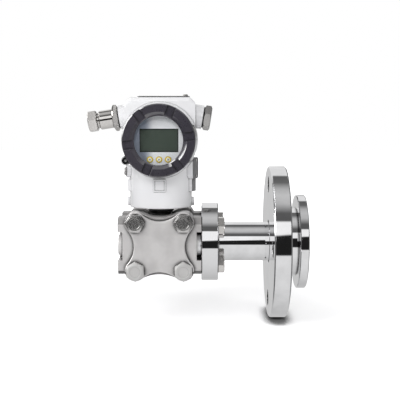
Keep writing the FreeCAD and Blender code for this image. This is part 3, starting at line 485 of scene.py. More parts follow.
class Finishes:
    """Every material of the instrument, made once."""

    adapter_step = 3.2 * MM
    gland_length = 20.0 * MM

    def __init__(self, layout: "Layout", nodes: dict[str, Piece]) -> None:
        """Builds the materials; some read places from the layout or the CAD nodes."""
        self.nodes = nodes
        barrel = tuple(layout.barrel)
        lock = tuple(middle_of("cover_lock_screws"))
        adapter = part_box("adapter_flange")[0][0] + self.adapter_step
        hexagon_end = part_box("gland_body")[1][0] - self.gland_length
        polished = ((0.80, 0.80, 0.81), (0.88, 0.88, 0.89))
        satin = ((0.62, 0.605, 0.60), (0.72, 0.705, 0.70))
        # The reach of each finish's painted shade into corners is given below.
        recipes = [
            Metal("polished_steel", *polished, (0.03, 0.06), 900.0, 0.001 * MM, Grain.ROUND_X,
                  edge=0.6 * MM, painted_shade_reach=3.0 * MM),
            Metal("flat_steel", *polished, (0.10, 0.2), 700.0, 0.002 * MM),
            CastSteel("blasted_steel", *satin, (0.34, 0.46), 1100.0, 0.05 * MM, edge=0.8 * MM,
                      metallic=0.4, painted_shade_reach=5.0 * MM, middle=layout.post.x),
            Metal("cast_light", *satin, (0.4, 0.5), 1100.0, 0.02 * MM, metallic=0.2,
                  painted_shade_reach=3.0 * MM),
            Metal("shaded_steel", *satin, (0.34, 0.46), 1100.0, 0.05 * MM, metallic=0.4,
                  painted_shade_reach=14.0 * MM),
            PartPolished("bolt_steel", (0.60, 0.59, 0.58), (0.76, 0.75, 0.74), (0.2, 0.3),
                         1500.0, 0.003 * MM, painted_shade_reach=2.5 * MM, axis="Z", polished=(0.0, 1.0),
                         matt_painted_shade=0.8),
            # Painted shade: a darker copy of the nickel, for the blanking plug on the side away
            # from the key light.
            Metal("plug_nickel", (0.40, 0.39, 0.385), (0.48, 0.47, 0.46), (0.13, 0.2), 600.0,
                  0.003 * MM, metallic=0.85, painted_shade_reach=1.0 * MM),
            Metal("nickel", (0.68, 0.66, 0.64), (0.78, 0.76, 0.74), (0.13, 0.2), 600.0,
                  0.003 * MM, metallic=0.85, painted_shade_reach=1.0 * MM),
            Metal("plate_steel", (0.33, 0.33, 0.34), (0.42, 0.42, 0.43), (0.3, 0.4), 1500.0,
                  0.004 * MM, Grain.ALONG_Y),
            RimmedPaint("white_paint", (0.80, 0.80, 0.815), (0.84, 0.84, 0.85), (0.2, 0.3),
                        coat=0.6, painted_shade_reach=1.5 * MM, edge=0.5 * MM, middle=barrel),
            Coating("dark_paint", (0.036, 0.033, 0.044), (0.044, 0.040, 0.052), (0.26, 0.36),
                    peel_scale=700.0, coat=1.0, coat_ior=2.1, painted_shade_reach=3.0 * MM,
                    edge=0.8 * MM),
            PartPolished("adapter_steel", *polished, (0.03, 0.06), 900.0, 0.001 * MM,
                         Grain.ROUND_X, painted_shade_reach=1.5 * MM, polished=(adapter, 0.0)),
            PartPolished("gland_steel", (0.72, 0.70, 0.68), (0.80, 0.78, 0.76), (0.05, 0.09),
                         600.0, 0.002 * MM, painted_shade_reach=1.5 * MM, polished=(-1.0, hexagon_end),
                         matt_painted_shade=0.62),
            Coating("black_rubber", (0.012, 0.012, 0.013), (0.02, 0.02, 0.021), (0.5, 0.65)),
            Coating("white_seal", (0.8, 0.8, 0.78), (0.86, 0.86, 0.84), (0.4, 0.5)),
            Coating("black_plastic", (0.014, 0.014, 0.016), (0.022, 0.022, 0.024), (0.35, 0.5)),
            Coating("oiled_steel", (0.008, 0.008, 0.009), (0.014, 0.014, 0.015), (0.14, 0.24),
                    coat=0.4),
            ScrewBlack("lock_steel", (0.008, 0.008, 0.009), (0.014, 0.014, 0.015), (0.14, 0.24),
                       coat=0.4, middle=lock),
            ShadedSilver("display_silver", (0.84, 0.86, 0.89), (0.90, 0.915, 0.935), (0.3, 0.4),
                         edge=0.2 * MM),
            Coating("lcd_frame", (0.010, 0.013, 0.011), (0.014, 0.018, 0.015), (0.25, 0.35),
                    edge=0.1 * MM),
            Coating("lcd_green", (0.066, 0.085, 0.070), (0.076, 0.096, 0.080), (0.12, 0.2),
                    edge=0.1 * MM),
            Coating("key_yellow", (0.88, 0.62, 0.02), (0.95, 0.74, 0.06), (0.3, 0.4)),
            Coating("key_pale", (0.88, 0.87, 0.76), (0.93, 0.92, 0.83), (0.35, 0.45)),
            Coating("board_green", (0.012, 0.10, 0.045), (0.02, 0.14, 0.06), (0.3, 0.45)),
            ClearGlass(),
        ]
        self.all = {recipe.name: recipe.build() for recipe in recipes}

    def dress(self, node: str, finish: str) -> None:
        """Gives a carried-over CAD node one of the materials."""
        mesh = self.nodes[node].data
        mesh.materials.clear()
        mesh.materials.append(self.all[finish])


# --- mesh helpers
def axis_place(origin: Vector, z: Vector, x: Vector) -> Matrix:
    """Matrix of a local frame with its Z and X along the given unit vectors."""
    place = Matrix((x, z.cross(x), z)).transposed().to_4x4()
    place.translation = origin
    return place


def middle_of(node: str) -> Vector:
    """Middle of a node's box, in metres."""
    low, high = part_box(node)
    return (Vector(low) + Vector(high)) / 2


def rounded(profile: Profile, radius: float, steps: int = 3) -> Profile:
    """Rounds the corners of a closed (z, radius) profile.

    Args:
        profile: Corner points; corners on the axis stay sharp.
        radius: Largest corner radius, limited by the sides.
        steps: Segments of each rounded corner.

    Returns:
        The profile with its corners replaced by short curves.
    """
    points = [Vector(point) for point in profile]
    result: Profile = []
    for k, here in enumerate(points):
        back, ahead = points[k - 1] - here, points[(k + 1) % len(points)] - here
        cut = min(radius, back.length * CUT_SHARE, ahead.length * CUT_SHARE)
        straight = abs(back.normalized().dot(ahead.normalized())) > STRAIGHT_COSINE
        if here.y < TINY or cut < TINY or straight:
            result.append((here.x, here.y))
            continue
        start, end = here + back.normalized() * cut, here + ahead.normalized() * cut
        for i in range(steps + 1):
            t = i / steps
            point = start.lerp(here, t).lerp(here.lerp(end, t), t)
            result.append((point.x, point.y))
    return result


def new_object(name: str, data: bpy.types.ID) -> Piece:
    """Links an object for a mesh, lamp or camera at the origin."""
    obj = bpy.data.objects.new(name, data)
    bpy.context.scene.collection.objects.link(obj)
    return obj


def finish_mesh(mesh: bpy.types.Mesh, angle: float = SMOOTH_ANGLE) -> None:
    """Merges doubles, points the faces outwards and smooths up to an angle in degrees."""
    shape = bmesh.new()
    shape.from_mesh(mesh)
    bmesh.ops.remove_doubles(shape, verts=shape.verts, dist=MERGE_DISTANCE)
    bmesh.ops.dissolve_degenerate(shape, edges=shape.edges, dist=MERGE_DISTANCE)
    bmesh.ops.recalc_face_normals(shape, faces=shape.faces)
    shape.to_mesh(mesh)
    shape.free()
    mesh.polygons.foreach_set("use_smooth", [True] * len(mesh.polygons))
    mesh.set_sharp_from_angle(angle=math.radians(angle))


def settled(shape: bmesh.types.BMesh, name: str, place: Matrix) -> Piece:
    """Sets a shape in its place, frees it and makes it a smoothed object."""
    bmesh.ops.transform(shape, matrix=place, verts=shape.verts)
    mesh = bpy.data.meshes.new(name)
    shape.to_mesh(mesh)
    shape.free()
    finish_mesh(mesh)
    return new_object(name, mesh)


def lathe(name: str, profile: Profile, place: Matrix, steps: int = 144,
          radius: float = 0.4) -> Piece:
    """Turned piece about local Z.

    Args:
        name: Name of the piece.
        profile: Closed (z, radius) corners in millimetres.
        place: Frame of the turning axis, in metres.
        steps: Segments round the axis.
        radius: Rounding of the corners in millimetres.

    Returns:
        The piece, with its place in its mesh.
    """
    corners = rounded(profile, radius) if radius else profile
    shape = bmesh.new()
    verts = [shape.verts.new((r * MM, 0, z * MM)) for z, r in corners]
    edges = [shape.edges.new((verts[k - 1], verts[k])) for k in range(len(verts))
             if max(verts[k - 1].co.x, verts[k].co.x) > TINY]
    bmesh.ops.spin(shape, geom=verts + edges, cent=(0, 0, 0), axis=(0, 0, 1),
                   angle=2 * math.pi, steps=steps, use_merge=True)
    loose = [vert for vert in shape.verts if not vert.link_faces]
    bmesh.ops.delete(shape, geom=loose, context="VERTS")
    return settled(shape, name, place)


def prism(name: str, outline: Profile, low: float, high: float, place: Matrix) -> Piece:
    """Straight prism along local Z between two heights, from corners in millimetres."""
    shape = bmesh.new()
    rings = [[shape.verts.new((x * MM, y * MM, z * MM)) for x, y in outline]
             for z in (low, high)]
    for ring in rings:
        shape.faces.new(ring)
    for k, (lower, upper) in enumerate(zip(*rings)):
        after = (k + 1) % len(outline)
        shape.faces.new((lower, rings[0][after], rings[1][after], upper))
    return settled(shape, name, place)


def baked(obj: Piece, angle: float = SMOOTH_ANGLE) -> Piece:
    """Turns an object's modifiers into its plain mesh."""
    graph = bpy.context.evaluated_depsgraph_get()
    mesh = bpy.data.meshes.new_from_object(obj.evaluated_get(graph), depsgraph=graph)
    obj.modifiers.clear()
    obj.data = mesh
    finish_mesh(mesh, angle)
    return obj


def combine(target: Piece, other: Piece, operation: str) -> Piece:
    """Joins (UNION), cuts (DIFFERENCE) or clips (INTERSECT) a piece by one it uses up."""
    modifier = target.modifiers.new("combine", "BOOLEAN")
    modifier.operation = operation
    modifier.solver = "EXACT"
    modifier.object = other
    baked(target)
    bpy.data.objects.remove(other)
    return target


def polygon(corners: int, reach: float, turn: float = 0.0) -> Profile:
    """Corners of a regular polygon, the first one in a direction in degrees."""
    angles = [math.radians(turn + 360 / corners * k) for k in range(corners)]
    return [(reach * math.cos(angle), reach * math.sin(angle)) for angle in angles]


def rectangle(half_w: float, half_h: float) -> Profile:
    """Corners of a rectangle round the origin."""
    return [(-half_w, -half_h), (half_w, -half_h), (half_w, half_h), (-half_w, half_h)]


@dataclass(frozen=True)
class HexBar:
    """Hexagonal bar along local Z with turned chamfers and a bore, in millimetres."""

    flats: float
    low: float
    high: float
    bore: float = 0.0
    chamfer_low: bool = True
    face_share: float = 0.465
    chamfer_slope: float = 0.58
    rounding: float = 0.12

    def make(self, name: str) -> Piece:
        """Builds the bar in the local frame."""
        reach = self.flats / math.sqrt(3)
        corner = reach + 0.02
        face = self.flats * self.face_share
        drop = (corner - face) * self.chamfer_slope
        foot = [(self.low, face), (self.low + drop, corner)]
        if not self.chamfer_low:
            foot = [(self.low, corner), (self.low + 0.01, corner)]
        hull = [(self.low, self.bore), *foot, (self.high - drop, corner), (self.high, face),
                (self.high, self.bore)]
        bar = prism(name, polygon(6, reach), self.low - 1, self.high + 1, LOCAL)
        return combine(bar, lathe("hull", hull, LOCAL, 96, self.rounding), "INTERSECT")


# --- geometry nodes
class Tree:
    """A geometry node group with named inputs, which ends in realised, dressed geometry."""

    def __init__(self, name: str, inputs: dict[str, str]) -> None:
        """Starts the group, with the kinds of its inputs (Float, Int, Object, ...) by name."""
        self.group = bpy.data.node_groups.new(name, "GeometryNodeTree")
        face = self.group.interface
        face.new_socket("Geometry", in_out="INPUT", socket_type="NodeSocketGeometry")
        face.new_socket("Geometry", in_out="OUTPUT", socket_type="NodeSocketGeometry")
        for key, kind in inputs.items():
            face.new_socket(key, in_out="INPUT", socket_type="NodeSocket" + kind)
        self.source = self.group.nodes.new("NodeGroupInput").outputs
        self.sink = self.group.nodes.new("NodeGroupOutput").inputs

    def add(self, kind: str, settings: dict[str, Any] | None = None, **inputs: Value) -> Node:
        """Adds a node; underscores in input names stand for spaces."""
        return add_node(self.group, kind, settings, **inputs)

    def copies(self, points: Socket, item: str, **inputs: Value) -> "Tree":
        """Ends the tree in copies of an input object on points."""
        piece = self.add("GeometryNodeObjectInfo", {"transform_space": "ORIGINAL"},
                         Object=self.source[item])
        copies = self.add("GeometryNodeInstanceOnPoints", Points=points,
                          Instance=piece.outputs["Geometry"], **inputs)
        return self.close(copies.outputs[0])

    def close(self, geometry: Socket) -> "Tree":
        """Ends the tree in Realize Instances and Set Material."""
        solid = self.add("GeometryNodeRealizeInstances", Geometry=geometry)
        dressed = self.add("GeometryNodeSetMaterial", Geometry=solid.outputs[0],
                           Material=self.source["Material"])
        self.group.links.new(dressed.outputs[0], self.sink[0])
        return self

    def run(self, base: Piece, angle: float = SMOOTH_ANGLE, **values: Any) -> Piece:
        """Evaluates the tree on an object and leaves the plain mesh.

        Args:
            base: Object that carries the tree's starting geometry.
            angle: Smoothing angle in degrees.
            values: Input values by name; underscores stand for spaces.

        Returns:
            The same object with the resulting mesh and no modifier.
        """
        modifier = base.modifiers.new("nodes", "NODES")
        modifier.node_group = self.group
        for item in self.group.interface.items_tree:
            key = item.name.replace(" ", "_")
            if item.in_out == "INPUT" and key in values:
                modifier[item.identifier] = values[key]
        return baked(base, angle)


def scatter_tree() -> Tree:
    """Tree that sets one fastener on every vertex, turned by the vertex's own angle."""
    tree = Tree("scatter", {"Fastener": "Object", "Material": "Material"})
    angle = tree.add("GeometryNodeInputNamedAttribute", {"data_type": "FLOAT"}, Name="turn")
    spin = tree.add("ShaderNodeCombineXYZ", Z=angle.outputs[0])
    return tree.copies(tree.source["Geometry"], "Fastener", Rotation=spin.outputs[0])


def stack_tree() -> Tree:
    """Tree that stacks copies of a ring along local Z, as the crests of a thread."""
    tree = Tree("stack", {"Ring": "Object", "Count": "Int", "Pitch": "Float",
                          "Material": "Material"})
    step = tree.add("ShaderNodeCombineXYZ", Z=tree.source["Pitch"])
    line = tree.add("GeometryNodeMeshLine", Count=tree.source["Count"], Offset=step.outputs[0])
    return tree.copies(line.outputs[0], "Ring")


def wave_tree() -> Tree:
    """Tree that presses concentric waves into a flat disc about local Z."""
    tree = Tree("waves", {"Pitch": "Float", "Depth": "Float", "Outer": "Float",
                          "Inner": "Float", "Material": "Material"})
    source = tree.source

    def maths(operation: str, *values: Value) -> Socket:
        """Result of a Math node of this tree."""
        return math_node(tree.group, operation, *values)

    place = tree.add("GeometryNodeInputPosition").outputs[0]
    flat = vector_node(tree.group, "MULTIPLY", place, (1.0, 1.0, 0.0))
    distance = vector_node(tree.group, "LENGTH", flat)
    phase = maths("MULTIPLY", maths("DIVIDE", distance, source["Pitch"]), 2 * math.pi)
    dip = maths("MULTIPLY_ADD", maths("COSINE", phase), -0.5, 0.5)
    inside = maths("MULTIPLY", maths("LESS_THAN", distance, source["Outer"]),
                   maths("GREATER_THAN", distance, source["Inner"]))
    depth = maths("MULTIPLY", maths("MULTIPLY", dip, inside), source["Depth"])
    offset = tree.add("ShaderNodeCombineXYZ", Z=depth)
    pressed = tree.add("GeometryNodeSetPosition", Geometry=source["Geometry"],
                       Offset=offset.outputs[0])
    return tree.close(pressed.outputs[0])


def points_object(name: str, points: list[Vector], turns: list[float]) -> Piece:
    """Loose vertices for a scatter tree, each with its own turn in radians."""
    mesh = bpy.data.meshes.new(name)
    mesh.from_pydata(points, [], [])
    mesh.attributes.new("turn", "FLOAT", "POINT").data.foreach_set("value", turns)
    return new_object(name, mesh)


@dataclass
class Layout:
    """Stations of the instrument in metres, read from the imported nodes."""

    post: Vector = field(init=False)
    barrel: Vector = field(init=False)

    def __post_init__(self) -> None:
        """Reads the upright axis and the barrel axis."""
        self.post = Vector((middle_of("sensor_module").x, 0, 0))
        self.barrel = Vector((self.post.x, 0, middle_of("front_cover").z))

    @property
    def front(self) -> Matrix:
        """Frame on the barrel axis, Z towards the display side and X to the right."""
        return axis_place(self.barrel, -Y_AXIS, X_AXIS)

    @property
    def capsule(self) -> Matrix:
        """Frame on the process axis under the head, Z towards the display side."""
        return axis_place(self.post, -Y_AXIS, X_AXIS)

    @property
    def seal(self) -> Matrix:
        """Frame on the seal, Z from its face towards the head."""
        return axis_place(Vector(), -X_AXIS, Y_AXIS)


def span(node: str, axis: int) -> Pair:
    """Lowest and highest place of a node on one axis, in millimetres."""
    low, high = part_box(node)
    return low[axis] / MM, high[axis] / MM


# --- sub-assemblies
@dataclass
class Assembly:
    """A group of pieces that shares the layout and the materials."""

    layout: Layout
    finishes: Finishes

    def place(self, obj: Piece, body: str, slot: str, finish: str = "",
              nodes: tuple[str, ...] = ()) -> None:
        """Dresses a new piece and sets it on its body.

        Args:
            obj: The finished piece.
            body: CAD body that it rides on.
            slot: Not used.
            finish: Material name, or nothing where the mesh has its materials.
            nodes: CAD nodes that it stands for.
        """
        if finish:
            obj.data.materials.clear()
            obj.data.materials.append(self.finishes.all[finish])
        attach(obj, body)
        if nodes:
            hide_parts(*nodes)
        LOG.info("%s rides on %s", obj.name, body)

    def dress(self, **nodes: str) -> None:
        """Gives carried-over nodes their materials, as lists of node names by material."""
        for finish, names in nodes.items():
            for node in names.split():
                self.finishes.dress(node, finish)


@dataclass
class SealStack(Assembly):
    """Diaphragm seal, loose flange and extension tube."""

    foil_waves: float = 4.4
    foil_depth: float = 0.45
    foil_rim: float = 3.4
    foil_middle: float = 5.0
    foil_gap: float = 0.1
    foil_rings: int = 90
    foil_angle: float = 60.0
    bead: float = 1.1
    bead_rise: float = 0.9
    bead_root: float = 0.2
    tube_r: float = 21.2

    def build(self) -> None:
        """Makes and dresses the pieces."""
        self.dress(polished_steel="seal_body mounting_flange extension_tube",
                   flat_steel="capillary_tube")
        self.diaphragm()
        near, far = span("extension_tube", 0)
        self.weld("seal_weld", -far, 1)
        self.weld("adapter_weld", -near, -1)

    def diaphragm(self) -> None:
        """Presses concentric waves into a thin disc."""
        rim = span("seal_diaphragm", 1)[1]
        back = -span("seal_diaphragm", 0)[0]
        thin = back - self.foil_depth - self.foil_gap
        front = [(0.0, rim * k / self.foil_rings) for k in range(self.foil_rings + 1)]
        rear = [(thin, r) for _, r in reversed(front)]
        disc = lathe("diaphragm", front + rear, LOCAL, 120, 0)
        wave_tree().run(disc, self.foil_angle, Material=self.finishes.all["flat_steel"],
                        Pitch=self.foil_waves * MM, Depth=self.foil_depth * MM,
                        Outer=(rim - self.foil_rim) * MM, Inner=self.foil_middle * MM)
        disc.data.transform(self.layout.seal)
        self.place(disc, "process_unit", "satin_steel", nodes=("seal_diaphragm",))

    def weld(self, name: str, station: float, inward: int) -> None:
        """Narrow ground weld round the tube, inward (1) or outward (-1) of its seat."""
        r, b = self.tube_r, self.bead
        arc = [(station + inward * b * math.sin(a), r + b * (1 - math.sin(a)) * self.bead_rise)
               for a in [math.radians(10 * k) for k in range(10)]]
        root = r - self.bead_root
        profile = [(station, root), *arc, (station + inward * b, root)]
        piece = lathe(name, profile, self.layout.seal, radius=0)
        self.place(piece, "process_unit", "polished_steel", "bolt_steel")


@dataclass
class ProcessUnit(Assembly):
    """Process covers with their capsule, bolts and adapter."""

    hex_flats: float = 18.0
    head_t: float = 7.5
    shank_r: float = 6.0
    nut_t: float = 10.0
    thread_pitch: float = 1.75
    thread_crests: int = 7
    bolt_step: float = 25.2
    washer_share: float = 0.47
    head_face: float = 0.41
    dish_depth: float = 0.35
    crest_half: float = 0.45
    crest_depth: float = 0.8
    stray_turns: tuple[float, ...] = (0.05, -0.04, 0.03, -0.02)

    def build(self) -> None:
        """Makes and dresses the pieces."""
        self.dress(blasted_steel="front_process_cover rear_process_cover",
                   shaded_steel="sensor_module", adapter_steel="adapter_flange",
                   nickel="adapter_bolts", white_seal="port_seals process_gaskets",
                   black_rubber="neck_ring", cast_light="end_plugs")
        self.bolts()
        self.nuts()

    def fasten(self, name: str, station: float, fastener: Piece,
               turns: tuple[float, ...], node: str) -> None:
        """Sets one copy of a fastener, each with its own turn in radians, on every bolt axis."""
        step = self.bolt_step * MM
        points = [Vector((x, y, station * MM)) for x in (-step, step) for y in (-step, step)]
        turned = [turn + stray for turn, stray in zip(turns, self.stray_turns)]
        piece = points_object(name, points, turned)
        scatter_tree().run(piece, Fastener=fastener, Material=self.finishes.all["bolt_steel"])
        piece.data.transform(self.layout.capsule)
        bpy.data.objects.remove(fastener)
        self.place(piece, "process_unit", "bolt_steel", nodes=(node,))

    def bolts(self) -> None:
        """Hexagon bolts with a washer face, a chamfered head and threaded tips."""
        seat = -span("front_process_cover", 1)[0]
        tip = -span("process_bolts", 1)[1] - seat
        washer = self.hex_flats * self.washer_share
        core = self.shank_r - 0.3
        top, floor = self.head_t + 1, self.head_t - self.dish_depth
        head = HexBar(self.hex_flats, 0.4, self.head_t, chamfer_low=False,
                      face_share=self.head_face).make("head")
        dish = lathe("dish", [(floor, 0), (floor, washer - 3.0), (top, washer - 1.9), (top, 0)],
                     LOCAL, 64, 0)
        stem = lathe("stem", [(tip, 0), (tip, self.shank_r - 1.2), (tip + 1.2, core), (0, core),
                              (0, washer), (0.5, washer), (0.5, 0)], LOCAL, 64, 0.15)
        bolt = combine(combine(head, dish, "DIFFERENCE"), stem, "UNION")
        self.add_thread(bolt, tip + 1.6)
        tilt = math.radians(30)
        self.fasten("cover_bolts", seat, bolt, (tilt, 0.0, tilt, 0.0), "process_bolts")

    def add_thread(self, bolt: Piece, start: float) -> None:
        """Joins thread crests onto the free tip of a bolt."""
        p, r = self.thread_pitch, self.shank_r
        half, root = p * self.crest_half, r - self.crest_depth
        crest = lathe("crest", [(-half, root), (0, r), (half, root)], LOCAL, 48, 0)
        line = new_object("thread", bpy.data.meshes.new("thread"))
        stack_tree().run(line, Ring=crest, Count=self.thread_crests, Pitch=p * MM,
                         Material=self.finishes.all["bolt_steel"])
        line.data.transform(Matrix.Translation((0, 0, start * MM)))
        shape = bmesh.new()
        shape.from_mesh(bolt.data)
        shape.from_mesh(line.data)
        shape.to_mesh(bolt.data)
        shape.free()
        for used in (crest, line):
            bpy.data.objects.remove(used)

    def nuts(self) -> None:
        """Hexagon nuts on the far side of the rear cover."""
        seat = -span("process_nuts", 1)[0]
        nut = HexBar(self.hex_flats, -self.nut_t, 0, bore=self.shank_r + 0.05).make("nut")
        self.fasten("cover_nuts", seat, nut, (0.4, 0.9, 1.4, 1.9), "process_nuts")


class Head(Assembly):
    """Electronics housing with its plates, screws, gland and plug."""

    def build(self) -> None:
        """Dresses the housing and what is fastened to it."""
        self.dress(white_paint="housing", oiled_steel="swivel_screws",
                   black_plastic="display_case terminal_block zero_button span_button",
                   board_green="display_board main_board",
                   nickel="standoffs terminal_screws adjuster_plate_screw gland_nut",
                   flat_steel="adjuster_plate", lock_steel="cover_lock_screws",
                   cast_light="earth_clamp earth_screw tag_rivets",
                   plate_steel="tag_plate side_plate", gland_steel="gland_body",
                   black_rubber="gland_ring gland_seal plug_ring", white_seal="gland_slip_ring",
                   plug_nickel="blanking_plug")


class ScrewedCovers(Assembly):
    """Window cover and blind cover with their seals and glass."""

    def build(self) -> None:
        """Dresses both covers."""
        self.dress(dark_paint="front_cover rear_cover",
                   black_rubber="front_cover_ring rear_cover_ring window_gasket",
                   window_glass="window_glass", oiled_steel="glass_retainer")


@dataclass
class Display(Assembly):
    """Front of the display: silver plate, framed screen and three keys."""

    frame_w: float = 0.9
    key_drop: float = 19.8
    key_pitch: float = 9.45
    pale_r: float = 2.1
    pale_root: float = 0.4
    pale_rise: float = 0.06
    glyph_r: float = 1.0
    glyph_rise: float = 0.12
    screen_drop: float = 0.25
    frame_rise: float = 0.3

    def build(self) -> None:
        """Makes and dresses the pieces."""
        self.dress(display_silver="display_face", key_yellow="key_left key_middle key_right")
        self.screen()
        self.key_top("left", -self.key_pitch, 180.0)
        self.key_top("middle", 0.0, 270.0)
        self.key_top("right", self.key_pitch, 0.0)

    def screen(self) -> None:
        """Screen glass inside a raised dark frame."""
        x0, x1 = span("lcd_module", 0)
        z0, z1 = span("lcd_module", 2)
        half_w, half_h = (x1 - x0) / 2, (z1 - z0) / 2
        back, front = sorted(-y for y in span("lcd_module", 1))
        place, outer = self.layout.front, rectangle(half_w, half_h)
        block = prism("screen", outer, back, front - self.screen_drop, place)
        self.place(block, "head", "lcd_green", "lcd_green", ("lcd_module",))
        inner = rectangle(half_w - self.frame_w, half_h - self.frame_w)
        rim = prism("screen_frame", outer, front - self.frame_rise, front + self.frame_rise, place)
        hole = prism("hole", inner, front - 1, front + 1, place)
        self.place(combine(rim, hole, "DIFFERENCE"), "head", "lcd_green", "lcd_frame")

    def key_top(self, name: str, x: float, turn: float) -> None:
        """Pale raised disc with a small arrow, turned by degrees, on a key."""
        front = -span("key_" + name, 1)[0]
        local = self.layout.front @ Matrix.Translation((x * MM, -self.key_drop * MM, 0))
        low, high, r = front - self.pale_root, front + self.pale_rise, self.pale_r
        disc = lathe(f"key_{name}_top", [(low, 0), (low, r), (high, r), (high, 0)], local, 40, 0.1)
        self.place(disc, f"{name}_key", "key_yellow", "key_pale")
        arrow = prism(f"key_{name}_arrow", polygon(3, self.glyph_r, turn), front,
                      front + self.glyph_rise, local)
        self.place(arrow, f"{name}_key", "black_plastic", "lcd_frame")


# --- studio
@dataclass(frozen=True)
class Lamp:
    """Large square lamp that bright metal doesn't mirror."""

    name: str
    spot: Point
    size: float
    power: float

    def build(self, aim: Vector) -> None:
        """Sets the lamp up, turned towards a point."""
        light = bpy.data.lights.new(self.name, "AREA")
        light.size, light.energy = self.size, self.power
        obj = new_object(self.name, light)
        obj.location = self.spot
        obj.rotation_euler = (aim - Vector(self.spot)).to_track_quat("-Z", "Y").to_euler()
        obj.visible_glossy = False


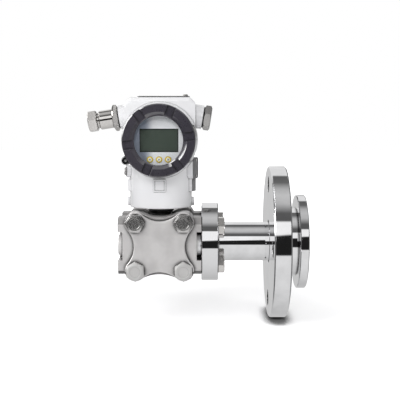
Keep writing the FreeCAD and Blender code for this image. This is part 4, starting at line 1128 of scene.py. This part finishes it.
@dataclass
class Studio:
    """Pale floor, soft light and the camera."""

    lens: float = 74.2
    eye: Point = (-0.114, -0.8976, 0.1259)
    dip: float = 0.0895
    fill: float = 0.46
    slope: Point = (-0.10, -0.06, 0.12)
    side_level: float = 0.16
    side_edge: Pair = (0.45, 0.8)
    softbox: Point = (-0.82, 0.0, 0.57)
    box_level: float = 6.0
    box_edge: Pair = (0.85, 0.93)
    dark_card: Point = (0.42, 0.87, 0.24)
    card_level: float = 0.03
    card_edge: Pair = (0.93, 0.97)
    bands: tuple[Pair, ...] = (
        (-180, 0.60), (-130, 0.55), (-95, 0.66), (-60, 0.76), (-15, 0.80), (-12, 1.0), (35.5, 1.0),
        (38, 0.10), (50, 0.11), (65, 0.52), (80, 0.60), (92, 0.50), (106, 0.15), (122, 0.12),
        (126, 0.83), (180, 0.83))
    black: Pair = (-13.5, 8.0)
    black_tilt: float = 85.0
    black_level: float = 0.015
    black_soft: float = 1.5
    aim_height: float = 0.05
    floor_half: float = 6.0
    floor_gap: float = 0.3 * MM
    floor_middle: float = -0.12
    floor_fade: Pair = (0.14, 0.5)
    floor_lift: float = 0.45
    floor_color: Color = (0.88, 0.88, 0.89)
    # Reach and colour of the painted contact shadow on the floor.
    contact_shadow_reach: float = 16.0 * MM
    contact_shadow_color: Color = (0.2, 0.2, 0.2)
    lamps: tuple[Lamp, ...] = (
        Lamp("key_light", (-0.85, -0.80, 0.60), 0.5, 5.0),
        Lamp("front_light", (-0.13, -1.30, 0.62), 0.3, 3.5),
        Lamp("side_light", (0.9, -0.5, 0.5), 0.6, 3.0))

    def build(self) -> None:
        """Sets up camera, world, floor, lamps and colour view."""
        scene = bpy.context.scene
        scene.view_settings.view_transform = "Standard"
        camera = bpy.data.cameras.new("camera")
        camera.lens, camera.sensor_width = self.lens, 36.0
        camera.clip_start, camera.clip_end = 0.01, 20.0
        scene.camera = new_object("camera", camera)
        scene.camera.location = self.eye
        scene.camera.rotation_euler = (math.pi / 2 - self.dip, 0, 0)
        self.world()
        self.floor()
        for lamp in self.lamps:
            lamp.build(Vector((self.eye[0], 0, self.aim_height)))

    def black_band(self, tree: NodeTree, share: Socket, side: Socket) -> Socket:
        """Share of a black card at eye height, whose upper edge climbs to one side."""
        low, high = [(degrees + 180) / 360 for degrees in self.black]
        soft = self.black_soft / 360
        right = math_node(tree, "MAXIMUM", side, 0.0)
        tilted = math_node(tree, "MULTIPLY_ADD", right, -self.black_tilt / 360, share)
        return math_node(tree, "SUBTRACT", smooth_step(tree, share, low - soft, low + soft),
                         smooth_step(tree, tilted, high - soft, high + soft))

    def card(self, tree: NodeTree, direction: Socket, aim: Point, edge: Pair) -> Socket:
        """Share of a round card with a soft edge, 1 where the ray runs towards it."""
        return smooth_step(tree, vector_node(tree, "DOT_PRODUCT", direction, aim), *edge)

    def banding(self, tree: NodeTree, share: Socket) -> Socket:
        """Level of light by the height of the ray, given as a share of a full turn."""
        ramp = add_node(tree, "ShaderNodeValToRGB", values=(share,))
        elements = ramp.color_ramp.elements
        for element, (_, level) in zip(elements, (self.bands[0], self.bands[-1])):
            element.color = (level, level, level, 1)
        for degrees, level in self.bands[1:-1]:
            elements.new((degrees + 180) / 360).color = (level, level, level, 1)
        return ramp.outputs[0]

    def world(self) -> None:
        """White to the camera, soft light to matt surfaces, banded studio to bright metal."""
        world = bpy.data.worlds.new("studio")
        bpy.context.scene.world = world
        world.use_nodes = True
        tree = world.node_tree
        tree.nodes.clear()
        direction = tree.nodes.new("ShaderNodeTexCoord").outputs["Generated"]
        x, y, z = add_node(tree, "ShaderNodeSeparateXYZ", values=(direction,)).outputs
        turn = math_node(tree, "ARCTAN2", z, math_node(tree, "MULTIPLY", y, -1.0))
        share = math_node(tree, "MULTIPLY_ADD", turn, 0.5 / math.pi, 0.5)
        glossy = self.banding(tree, share)
        sides = smooth_step(tree, math_node(tree, "ABSOLUTE", x), *self.side_edge)
        for part, level in (
                (self.black_band(tree, share, x), self.black_level),
                (sides, self.side_level),
                (self.card(tree, direction, self.softbox, self.box_edge), self.box_level),
                (self.card(tree, direction, self.dark_card, self.card_edge), self.card_level)):
            glossy = mix_node(tree, part, glossy, level)
        slope = math_node(tree, "ADD", vector_node(tree, "DOT_PRODUCT", direction, self.slope),
                          self.fill)
        rays = tree.nodes.new("ShaderNodeLightPath").outputs
        lit = mix_node(tree, rays["Is Glossy Ray"], slope, glossy)
        background = add_node(tree, "ShaderNodeBackground",
                              values=(mix_node(tree, rays["Is Camera Ray"], lit, 1.0),))
        add_node(tree, "ShaderNodeOutputWorld", Surface=background.outputs[0])

    def floor(self) -> None:
        """Large pale floor that keeps the shadow, paints a contact shadow and shows white to the
        camera.
        """
        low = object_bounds()[0][2] - self.floor_gap
        mesh = bpy.data.meshes.new("floor")
        corners = rectangle(self.floor_half, self.floor_half)
        mesh.from_pydata([(x, y, low) for x, y in corners], [], [(0, 1, 2, 3)])
        graph = ShaderGraph("floor")
        middle = vector_node(graph.tree, "DISTANCE", graph.coords, (self.floor_middle, 0.0, low))
        far = smooth_step(graph.tree, middle, *self.floor_fade)
        # Painted contact shadow: the floor darkens where the part comes close to it.
        contact = graph.cavity(self.contact_shadow_reach)
        lift = graph.maths("MULTIPLY", mix_node(graph.tree, far, self.floor_lift, 1.0),
                           graph.maths("SUBTRACT", 1.0, contact))
        rays = graph.tree.nodes.new("ShaderNodeLightPath").outputs
        graph.set(Roughness=0.9, Specular_IOR_Level=0.0, Emission_Color=(1.0, 1.0, 1.0),
                  Base_Color=graph.mix(contact, self.floor_color, self.contact_shadow_color),
                  Emission_Strength=graph.maths("MULTIPLY", rays["Is Camera Ray"], lift))
        mesh.materials.append(graph.material)
        obj = new_object("floor", mesh)
        obj.visible_glossy = False
        obj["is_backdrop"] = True


def main() -> None:
    """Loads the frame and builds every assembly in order."""
    logging.basicConfig(level=logging.INFO, format="%(message)s")
    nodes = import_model()["nodes"]
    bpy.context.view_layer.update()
    Studio().build()
    layout = Layout()
    finishes = Finishes(layout, nodes)
    for assembly in (SealStack, ProcessUnit, Head, ScrewedCovers, Display):
        LOG.info("building %s", assembly.__name__)
        assembly(layout, finishes).build()


if __name__ == "__main__":
    main()
